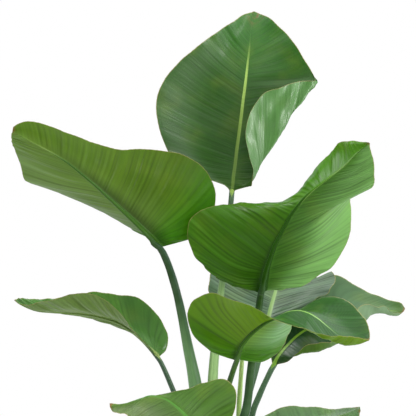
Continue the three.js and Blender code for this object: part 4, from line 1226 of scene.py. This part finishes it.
# The shade beside the midrib: how much narrower it gets as far as the ridge's end and its least
# width, in millimetres, how near it comes to FOLD_DARK, and how much of the glow it takes away.
FOLD_NARROWING = -20.0
FOLD_LEAST = 3.0
FOLD_DEPTH = 0.75
FOLD_DIMS = -0.8

# The margin's line: its width in millimetres from full to none, and how much it shows.
RIM_WIDTHS = (0.5, 1.8)
RIM_SHOWS = 0.7

# For the upper face and for the underside: how rough they are, and how much light comes through.
ROUGHNESS = (0.3, 0.32)
THINNESS = (0.16, 0.4)

# The relief of the veins: how much of it the broad ones have, its strength, and its depth in metres.
BROAD_RELIEF = 0.8
VEIN_BUMP = (0.35, 0.0005)

# The left half's colours, which are painted light and painted sheen for how the light falls on that
# half: the shares of its width between which they get stronger, and how much of them shows beside the
# midrib and at the margin.
LEFT_STARTS, LEFT_SHOWS = (0.05, 0.6), (0.25, 1.0)


def blade_tone(s, look, fine, broad, cloud):
    """How light the blade is at each place, about 1: veins, pleats, clouds, painted shade in the grooves,
    and the tip's painted shade and painted light.
    """
    lines = look["lines"]
    tone = s.math("MULTIPLY_ADD", fine, FINE_TONE * lines, PLAIN_TONE + VEINED_TONE * lines)
    tone = s.math("MULTIPLY_ADD", broad, BROAD_TONE * lines, tone)
    tone = s.math("MULTIPLY_ADD", s.attribute("tone"), PLEAT_TONE * lines, tone)
    tone = s.math("MULTIPLY_ADD", cloud, CLOUD_TONE, tone)
    tone = s.math("MULTIPLY_ADD", s.attribute("groove"), GROOVE_PAINTED_SHADE * lines, tone)
    on_left = s.math("LESS_THAN", s.attribute("rib"), 0.0)
    tip_shade = s.step(on_left, 0.0, 1.0, *look["tip_shade"])
    darkened = s.math("MULTIPLY", tip_shade, s.step(s.attribute("along"), *TIP_SHADE_STARTS))
    return s.math("MULTIPLY", tone, s.math("SUBTRACT", 1.0, darkened))


def left_half(s):
    """1 on the left margin's half, less near the midrib, and 0 on the right one: where the left half's
    painted light and sheen show.
    """
    on_left = s.math("LESS_THAN", s.attribute("rib"), 0.0)
    return s.math("MULTIPLY", on_left, s.step(s.attribute("share"), *LEFT_STARTS, *LEFT_SHOWS))


def by_half(s, look, key):
    """A colour of the look, and where it has another one for the left half, that one there: painted light
    and painted sheen for how the light falls on that half.
    """
    return s.mix(left_half(s), colour(look[key]), colour(look.get(f"{key}_left", look[key])))


def blade_greens(s, look):
    """The two faces' greens, with the look's colours for the base and the tip. The left half's colours are
    painted light and sheen, and some base and tip colours paint shade and the glow of light shining
    through.
    """
    along = s.attribute("along")
    above, below = by_half(s, look, "upper"), by_half(s, look, "under")
    from_base = s.step(along, *look["base_reach"])
    if "under_base" in look:
        below = s.mix(from_base, colour(look["under_base"]), below)
    if "upper_base" in look:
        above = s.mix(from_base, colour(look["upper_base"]), above)
    if "upper_tip" in look:
        above = s.mix(s.step(along, *TIP_COLOUR_STARTS), above, colour(look["upper_tip"]))
    return s.mix(s.attribute("under"), above, below)


def fold_shade(s, look):
    """The soft shade beside the midrib on the underside, narrower and fainter towards the tip."""
    along = s.attribute("along")
    width = s.math("MULTIPLY_ADD", along, FOLD_NARROWING / look["ridge"], look["fold_width"])
    folded = s.math("MULTIPLY", s.attribute("rib"), look["fold_side"])
    share = s.math("DIVIDE", folded, s.math("MAXIMUM", width, FOLD_LEAST))
    beside = s.step(share, 0.0, 1.0, look["fold_shade"], 0.0)
    beside = s.math("MULTIPLY", beside, s.math("GREATER_THAN", folded, 0.0))
    below = s.math("MULTIPLY", beside, s.attribute("under"))
    return s.math("MULTIPLY", below, s.step(along, *FOLD_SHADE_ENDS, 1.0, 0.0))


def midrib_colours(s, look, face):
    """The midrib's colour: pale above, and dark below as far as its ridge goes."""
    along, rib = s.attribute("along"), colour(look["rib"])
    above = s.mix(s.step(along, *RIB_BASE_ENDS), colour(look.get("rib_base", look["rib"])), rib)
    past_ridge = s.step(along, look["ridge"], look["ridge"] + RIDGE_FADE)
    below = s.mix(past_ridge, colour(look["spine"]), s.mix(0.5, face, rib))
    return s.mix(s.attribute("under"), above, below)


def on_midrib(s, look):
    """1 on the midrib and 0 off it. It ends before the tip."""
    along = s.attribute("along")
    reach = s.step(along, 0.0, 1.0, *look["rib_reach"])
    across = s.step(s.math("DIVIDE", s.attribute("ribbing"), reach), 0.7, 1.0, 1.0, 0.0)
    return s.math("MULTIPLY", across, s.step(along, *RIB_ENDS, 1.0, 0.0))


def with_margin(s, face):
    """The face with a thin pale or brown margin, and scorched specks at the very tip."""
    on_rim = s.math("MULTIPLY", s.step(s.attribute("rim"), *RIM_WIDTHS, 1.0, 0.0), RIM_SHOWS)
    patches = s.noise(s.place(), RIM_PATCHES)
    face = s.mix(on_rim, face, s.mix(patches, colour(RIM_PALE), colour(RIM_BROWN)))
    specks = s.step(s.noise(s.place(), SCORCH_PATCHES), *SCORCH_CONTRAST)
    scorched = s.math("MULTIPLY", s.step(s.attribute("along"), *SCORCH_STARTS), specks)
    return s.mix(scorched, face, colour(SCORCHED))


def leaf_material(name, look):
    """A leathery blade: parallel veins, a midrib, a thin pale margin, and light that glows through."""
    s = Shading(bpy.data.materials.new(name))
    under = s.attribute("under")
    grain = s.vector(s.attribute("vein"), s.math("MULTIPLY", s.attribute("rib"), VEIN_STRETCH))
    fine = s.step(s.noise(grain, FINE_VEINS), *FINE_CONTRAST)
    broad = s.step(s.noise(grain, BROAD_VEINS), *BROAD_CONTRAST)
    cloud = s.noise(s.place(), CLOUDS)
    tone = blade_tone(s, look, fine, broad, cloud)

    face = blade_greens(s, look)
    warm = s.mix(0.5, face, colour(WARM_CLOUD))
    face = s.mix(s.math("MULTIPLY", s.step(cloud, *WARM_CLOUDS), WARM_SHARE), face, warm)
    face = s.mix(1.0, face, tone, "MULTIPLY")
    shade = fold_shade(s, look)
    face = s.mix(shade, face, s.mix(FOLD_DEPTH, face, colour(FOLD_DARK)))
    on_rib = on_midrib(s, look)
    face = with_margin(s, s.mix(on_rib, face, midrib_colours(s, look, face)))

    gloss = s.principled(
        base_color=face, specular_ior_level=look["gloss"],
        roughness=s.math("MULTIPLY_ADD", fine, 0.1, s.step(under, 0.0, 1.0, *ROUGHNESS)),
        normal=s.bump(s.math("MULTIPLY_ADD", broad, BROAD_RELIEF, fine), *VEIN_BUMP),
        coat_weight=s.step(under, 0.0, 1.0, *look["shine"]), coat_roughness=look["shine_spread"],
    )
    shaded = s.math("MULTIPLY", tone, s.math("MULTIPLY_ADD", shade, FOLD_DIMS, 1.0))
    glow = s.mix(1.0, by_half(s, look, "glow"), shaded, "MULTIPLY")
    through = s.node("ShaderNodeBsdfTranslucent", {"Color": glow})
    thin = s.math("MULTIPLY", s.math("SUBTRACT", 1.0, on_rib), s.step(under, 0.0, 1.0, *THINNESS))
    return s.finish(s.node("ShaderNodeMixShader", {0: thin, 1: gloss, 2: through}))


DEEP_GREEN = (20, 44, 20)
WAX_BAND = (110, 140, 110)
# The colour below is painted shade for a round stalk's sides, which turn away from the light.
FLANK_PAINTED_SHADE = (16, 50, 34)
SHEATH_RIB_LOW = (140, 164, 88)
SHEATH_RIB_HIGH = (164, 184, 112)
STALK_SPECK = (120, 110, 70)

# Places along a stalk, in millimetres past the blade's base: where the lower part's colour ends and
# where the blade's colours start. The midrib's dark underside ends over RIDGE_END_LENGTH, and its
# place is told from a blade of the usual length.
LOW_PART_ENDS = (-240.0, -90.0)
BLADE_STARTS = (-12.0, 60.0)
RIDGE_END_LENGTH = 60
USUAL_BLADE = 340

# A stalk's patterns: how closely each one is set along it and round it, between which of its values
# it starts, and how much of it shows.
RIBS_ALONG, RIBS_ROUND, RIB_STARTS = 0.004, 9.0, (0.35, 0.65)
BANDS_ALONG, BAND_STARTS, BANDS_SHOW = 0.03, (0.35, 0.7), 0.3
SPECKS_ALONG, SPECKS_ROUND, SPECK_STARTS, SPECKS_SHOW = 0.25, 2.0, (0.68, 0.74), 0.3
# The painted shade on a stalk's sides: between which sideways shares it starts and is full, and how much
# of it shows.
FLANK_SHADE_STARTS, FLANK_SHADE_SHOWS = (0.4, 1.0), 0.95
SHEATHS_SHOW = 0.6

# The channel's pale inside: how far it reaches round a stalk in radians, how much less it does for
# each millimetre below the blade's base, and how soft its edge is.
PALE_REACH, PALE_NARROWS, PALE_EDGE = 1.1, 0.07, 0.25


def stalk_greens(s, look, ribs, angle):
    """The stalk's colours: fine ribs, waxy bands, painted shade on its flanks, and paler where it is a
    sheath.
    """
    length = s.attribute("length")
    lower, upper = colour(look["stalk_low"]), colour(look["stalk"])
    green = s.mix(s.step(s.attribute("past_base"), *LOW_PART_ENDS), lower, upper)
    face = s.mix(ribs, s.mix(0.2, green, colour(DEEP_GREEN)), green)
    bands = s.noise(s.vector(s.math("MULTIPLY", length, BANDS_ALONG), 0.0), 1.0)
    waxy = s.mix(0.5, green, colour(WAX_BAND))
    face = s.mix(s.step(bands, *BAND_STARTS, 0.0, BANDS_SHOW), face, waxy)
    # Painted shade on the stalk's sides, where a round stalk turns away from the light.
    sideways = s.math("ABSOLUTE", s.math("SINE", angle))
    painted_flank_shade = s.mix(0.5, face, colour(FLANK_PAINTED_SHADE))
    face = s.mix(s.step(sideways, *FLANK_SHADE_STARTS, 0.0, FLANK_SHADE_SHOWS), face, painted_flank_shade)
    light = s.mix(ribs, colour(SHEATH_RIB_LOW), colour(SHEATH_RIB_HIGH))
    return s.mix(s.math("MULTIPLY", s.attribute("sheath"), SHEATHS_SHOW), face, light)


def stalk_material(name, look):
    """A waxy channelled stalk with fine long ribs, paler towards its sheath. Past the blade's base it
    is the midrib's underside, and takes the blade's colours."""
    s = Shading(bpy.data.materials.new(name))
    length, angle, past_base = s.attribute("length"), s.attribute("angle"), s.attribute("past_base")
    drawn_out = s.math("MULTIPLY", length, RIBS_ALONG)
    around = s.vector(s.math("COSINE", angle), s.math("SINE", angle), drawn_out)
    ribs = s.step(s.noise(around, RIBS_ROUND), *RIB_STARTS)
    face = stalk_greens(s, look, ribs, angle)

    ridge_end = look["ridge"] * USUAL_BLADE
    past_ridge = s.step(past_base, ridge_end, ridge_end + RIDGE_END_LENGTH)
    beyond = s.mix(past_ridge, colour(look["spine"]), colour(look["under"]))
    face = s.mix(s.step(past_base, *BLADE_STARTS), face, beyond)
    from_channel = s.math("MINIMUM", angle, s.math("SUBTRACT", 2 * math.pi, angle))
    narrowed = s.math("MULTIPLY_ADD", past_base, PALE_NARROWS, PALE_REACH)
    reach = s.math("MINIMUM", narrowed, PALE_REACH)
    in_channel = s.step(s.math("SUBTRACT", reach, from_channel), 0.0, PALE_EDGE)
    face = s.mix(in_channel, face, colour(look["rib"]))
    spots = s.vector(s.math("MULTIPLY", length, SPECKS_ALONG), s.math("MULTIPLY", angle, SPECKS_ROUND))
    specks = s.math("MULTIPLY", s.step(s.noise(spots, 1.0), *SPECK_STARTS), SPECKS_SHOW)
    return s.finish(s.principled(
        base_color=s.mix(specks, face, colour(STALK_SPECK)),
        roughness=s.math("MULTIPLY_ADD", ribs, 0.1, 0.3), normal=s.bump(ribs, 0.3, 0.0004),
        specular_ior_level=0.14, coat_weight=0.02, coat_roughness=0.25,
    ))


ROLL_DARK = (116, 148, 70)
ROLL_PALE = (150, 178, 96)
SEAM_SHADE = (84, 116, 48)
SEAM_EDGE = (196, 200, 130)
ROLL_MARK = (128, 84, 52)


def young_leaf_material(name):
    """A pale rolled leaf with fine long lines, a dark seam with a light edge, and small brown marks."""
    s = Shading(bpy.data.materials.new(name))
    length, around = s.attribute("length"), s.attribute("around")
    grain = s.vector(s.math("MULTIPLY", around, 26.0), s.math("MULTIPLY", length, 0.006))
    lines = s.step(s.noise(grain, 1.0), 0.35, 0.65)
    face = s.mix(lines, colour(ROLL_DARK), colour(ROLL_PALE))
    face = s.mix(s.step(around, 0.0, 0.06, 0.75, 0.0), face, colour(SEAM_SHADE))
    face = s.mix(s.step(around, 0.94, 1.0, 0.0, 0.5), face, colour(SEAM_EDGE))
    spots = s.vector(s.math("MULTIPLY", length, 0.05), s.math("MULTIPLY", around, 3.0))
    marks = s.math("MULTIPLY", s.step(s.noise(spots, 1.6), 0.7, 0.76), 0.7)
    return s.finish(s.principled(
        base_color=s.mix(marks, face, colour(ROLL_MARK)), roughness=0.38,
        normal=s.bump(lines, 0.3, 0.0004), specular_ior_level=0.5, coat_weight=0.1, coat_roughness=0.3,
    ))


STUMP_GREEN = (128, 136, 78)
STUMP_BROWN = (112, 92, 58)
RING_SCAR = (84, 66, 44)


def crown_material(name):
    """A woody stump: green and brown patches, crossed by dark ring scars."""
    s = Shading(bpy.data.materials.new(name))
    rings = s.noise(s.vector(0.0, 0.0, s.math("MULTIPLY", s.height(), 900.0)), 1.0)
    patches = s.noise(s.place(), 60.0, 5.0)
    face = s.mix(s.step(patches, 0.4, 0.65), colour(STUMP_GREEN), colour(STUMP_BROWN))
    face = s.mix(s.step(rings, 0.5, 0.62, 0.0, 0.6), face, colour(RING_SCAR))
    return s.finish(s.principled(base_color=face, roughness=0.75, normal=s.bump(patches, 0.6, 0.001)))


FRESH_DARK = (146, 150, 92)
FRESH_PALE = (172, 168, 112)
DRIED_DARK = (112, 78, 48)
DRIED_PALE = (170, 132, 88)


def sheath_material(name):
    """Papery fibres, green at the foot and dried brown above."""
    s = Shading(bpy.data.materials.new(name))
    fibres = s.noise(s.node("ShaderNodeMapping", {0: s.place(), 3: (1.0, 1.0, 0.06)}), 900.0, 4.0)
    patches = s.noise(s.place(), 45.0, 4.0)
    fresh = s.mix(fibres, colour(FRESH_DARK), colour(FRESH_PALE))
    dried = s.mix(fibres, colour(DRIED_DARK), colour(DRIED_PALE))
    dry = s.math("ADD", s.attribute("dry"), s.math("MULTIPLY_ADD", patches, 1.2, -0.6))
    face = s.mix(s.step(dry, 0.15, 0.6), fresh, dried)
    return s.finish(s.principled(base_color=face, roughness=0.7, normal=s.bump(fibres, 0.5, 0.0008)))


CRUMB_DARK = (40, 28, 20)
CRUMB_PALE = (92, 70, 52)
DAMP_SOIL = (34, 24, 18)


def soil_material(name):
    """Dark crumbs with damper patches."""
    s = Shading(bpy.data.materials.new(name))
    crumbs, damp = s.noise(s.place(), 420.0, 6.0, 0.65), s.noise(s.place(), 22.0)
    face = s.mix(s.step(crumbs, 0.35, 0.7), colour(CRUMB_DARK), colour(CRUMB_PALE))
    face = s.mix(s.step(damp, 0.4, 0.65, 0.0, 0.5), face, colour(DAMP_SOIL))
    return s.finish(s.principled(base_color=face, roughness=0.95, normal=s.bump(crumbs, 0.8, 0.0012)))


BARK_DARK = (62, 42, 28)
BARK_PALE = (118, 84, 56)
BARK_GRAIN = (38, 26, 18)
GRIT = (214, 208, 196)


def chip_material(name):
    """Bark from dark to light by the chip's kind, and a few pale pieces of grit."""
    s = Shading(bpy.data.materials.new(name))
    kind, grain = s.attribute("kind"), s.noise(s.place(), 700.0, 4.0)
    bark = s.mix(s.step(kind, 0.2, 0.8), colour(BARK_DARK), colour(BARK_PALE))
    bark = s.mix(s.math("MULTIPLY", grain, 0.5), bark, colour(BARK_GRAIN))
    face = s.mix(s.step(kind, 0.93, 0.94), bark, colour(GRIT))
    return s.finish(s.principled(base_color=face, roughness=0.9, normal=s.bump(grain, 0.6, 0.0008)))


GLAZE_DARK = (166, 163, 156)
GLAZE_PALE = (178, 175, 168)
GLAZE_PIT = (132, 128, 120)


def pot_material(name):
    """Pale matt-glazed ceramic with faint turning lines, small pits and soft mottling."""
    s = Shading(bpy.data.materials.new(name))
    turning = s.noise(s.vector(0.0, 0.0, s.math("MULTIPLY", s.height(), 260.0)), 1.0, 4.0)
    mottle, pits = s.noise(s.place(), 18.0, 4.0), s.noise(s.place(), 520.0, 2.0)
    face = s.mix(s.step(mottle, 0.35, 0.7), colour(GLAZE_DARK), colour(GLAZE_PALE))
    face = s.mix(s.step(pits, 0.68, 0.74, 0.0, 0.5), face, colour(GLAZE_PIT))
    relief = s.math("MULTIPLY_ADD", s.step(pits, 0.66, 0.74), -0.8, turning)
    return s.finish(s.principled(
        base_color=face, roughness=s.math("MULTIPLY_ADD", mottle, 0.2, 0.38),
        normal=s.bump(relief, 0.25, 0.0006), specular_ior_level=0.5, coat_weight=0.2, coat_roughness=0.35,
    ))


FLOOR_DARK = (214, 214, 212)
FLOOR_PALE = (220, 220, 218)


def floor_material(name):
    s = Shading(bpy.data.materials.new(name))
    face = s.mix(s.noise(s.place(), 3.0), colour(FLOOR_DARK), colour(FLOOR_PALE))
    return s.finish(s.principled(base_color=face, roughness=0.8))


# ---- studio --------------------------------------------------------------------------------------
SENSOR_WIDTH = 36
SOFT_WHITE = (0.97, 1.0, 1.0, 1.0)
PLAIN_WHITE = (1.0, 1.0, 1.0, 1.0)
AIM = (0, 0, 1.0)
FLOOR_RADIUS = 2.6
FLOOR_SIDES = 128

# Soft light from all around: the direction that it is strongest from, and its strength there.
SURROUNDINGS = [
    ((0, 1, 0), 0.6),
    ((0, -1, 0), 0.12),
    ((-1, 0, 0), 0.25),
    ((1, 0, 0), 0.95),
    ((0, 0, 1), 2.0),
    ((0, 0, -1), 1.15),
]
# Lamps: place, width and height, power and tint.
LIGHTS = {
    "key": ((3.0, -1.5, 0.8), (0.3, 0.8), 36, (1, 0.99, 0.97)),
    "high": ((2.6, -1.5, 2.6), (0.35, 0.35), 18, (1, 1, 1)),
    "side": ((3.2, 0.4, 1.4), (1.0, 1.4), 14, (1, 1, 1)),
    "rim": ((-2.0, 0.3, 3.2), (0.6, 0.6), 40, (1, 1, 1)),
}


def make_camera(scene):
    """A camera in front of the plant that sees just the front view's squares at the pot's axis."""
    camera = bpy.data.cameras.new("camera")
    camera.sensor_width = SENSOR_WIDTH
    camera.lens = SENSOR_WIDTH / 2 * VIEW_RANGE / (VIEW_CENTRE * VIEW_SQUARE)
    holder = bpy.data.objects.new("camera", camera)
    holder.location = (VIEW_X, -VIEW_RANGE, VIEW_Z)
    holder.rotation_euler = (math.pi / 2, 0, 0)
    scene.collection.objects.link(holder)
    scene.camera = holder


def make_surroundings(scene):
    """A world that is plain white to the camera and gives soft light from each side."""
    s = Shading(bpy.data.worlds.new("studio"))
    looking = s.node("ShaderNodeTexCoord", {}, 0)
    light = 0.0
    for direction, strength in SURROUNDINGS:
        facing = s.node("ShaderNodeVectorMath", {0: looking, 1: direction}, 1, operation="DOT_PRODUCT")
        light = s.math("ADD", light, s.step(facing, 0.0, 0.95, 0.0, strength))
    soft = s.node("ShaderNodeBackground", {0: SOFT_WHITE, 1: light})
    plain = s.node("ShaderNodeBackground", {0: PLAIN_WHITE, 1: 1.0})
    to_camera = s.node("ShaderNodeLightPath", {}, 0)
    seen_light = s.node("ShaderNodeMixShader", {0: to_camera, 1: soft, 2: plain})
    scene.world = s.finish(seen_light, "ShaderNodeOutputWorld")


def make_lamp(scene, name, place, size, power, tint):
    """A rectangular lamp that is turned towards the plant."""
    light = bpy.data.lights.new(name, "AREA")
    light.shape = "RECTANGLE"
    light.size, light.size_y = size
    light.energy = power
    light.color = tint
    lamp = bpy.data.objects.new(name, light)
    lamp.location = place
    aim = np.array(AIM) - np.array(place)
    tilt = math.acos(-aim[2] / np.linalg.norm(aim))
    lamp.rotation_euler = (tilt, 0, math.atan2(aim[1], aim[0]) - math.pi / 2)
    lamp.visible_camera = False
    scene.collection.objects.link(lamp)


def make_floor(scene):
    """A plain round floor."""
    angle = 2 * math.pi * np.arange(FLOOR_SIDES) / FLOOR_SIDES
    rim = np.stack([FLOOR_RADIUS * np.cos(angle), FLOOR_RADIUS * np.sin(angle), np.zeros_like(angle)], -1)
    mesh = bpy.data.meshes.new("floor")
    mesh.from_pydata(rim.tolist(), [], [list(range(FLOOR_SIDES))])
    mesh.materials.append(floor_material("floor"))
    floor = bpy.data.objects.new("floor", mesh)
    scene.collection.objects.link(floor)


def make_studio():
    scene = bpy.context.scene
    scene.view_settings.view_transform = "Standard"
    make_floor(scene)
    make_camera(scene)
    make_surroundings(scene)
    for name, lamp in LIGHTS.items():
        make_lamp(scene, name, *lamp)


# ---- everything ----------------------------------------------------------------------------------
# The first number of each kind of piece's random draws.
LEAF_SEED, CROWN_SEED, YOUNG_LEAF_SEED, POT_SEED, SOIL_SEED = 100, 20, 7, 3, 4


def make_leaves():
    for index, (name, leaf) in enumerate(LEAVES.items()):
        rng = np.random.default_rng(LEAF_SEED + index)
        look = {**PLAIN_LOOK, **LOOKS[name]}
        rib_line = make_blade(name, leaf, look, leaf_material(f"leaf_{name}", look), rng)
        make_stalk(name, leaf, rib_line, stalk_material(f"petiole_{name}", look), rng)


def make_crowns():
    stump, sheaths = crown_material("stump"), sheath_material("sheaths")
    for index, (name, crown) in enumerate(CROWNS.items()):
        rng = np.random.default_rng(CROWN_SEED + index)
        make_crown(name, crown, stump, rng)
        make_scales(name, crown, sheaths, rng)


def make_filled_pot():
    make_pot(pot_material("planter"), np.random.default_rng(POT_SEED))
    rng = np.random.default_rng(SOIL_SEED)
    height = soil_height(rng)
    make_soil(soil_material("potting_mix"), height)
    make_chips(chip_material("bark_chips"), height, rng)


make_leaves()
make_young_leaf(young_leaf_material("rolled_leaf"), np.random.default_rng(YOUNG_LEAF_SEED))
make_crowns()
make_filled_pot()
make_studio()
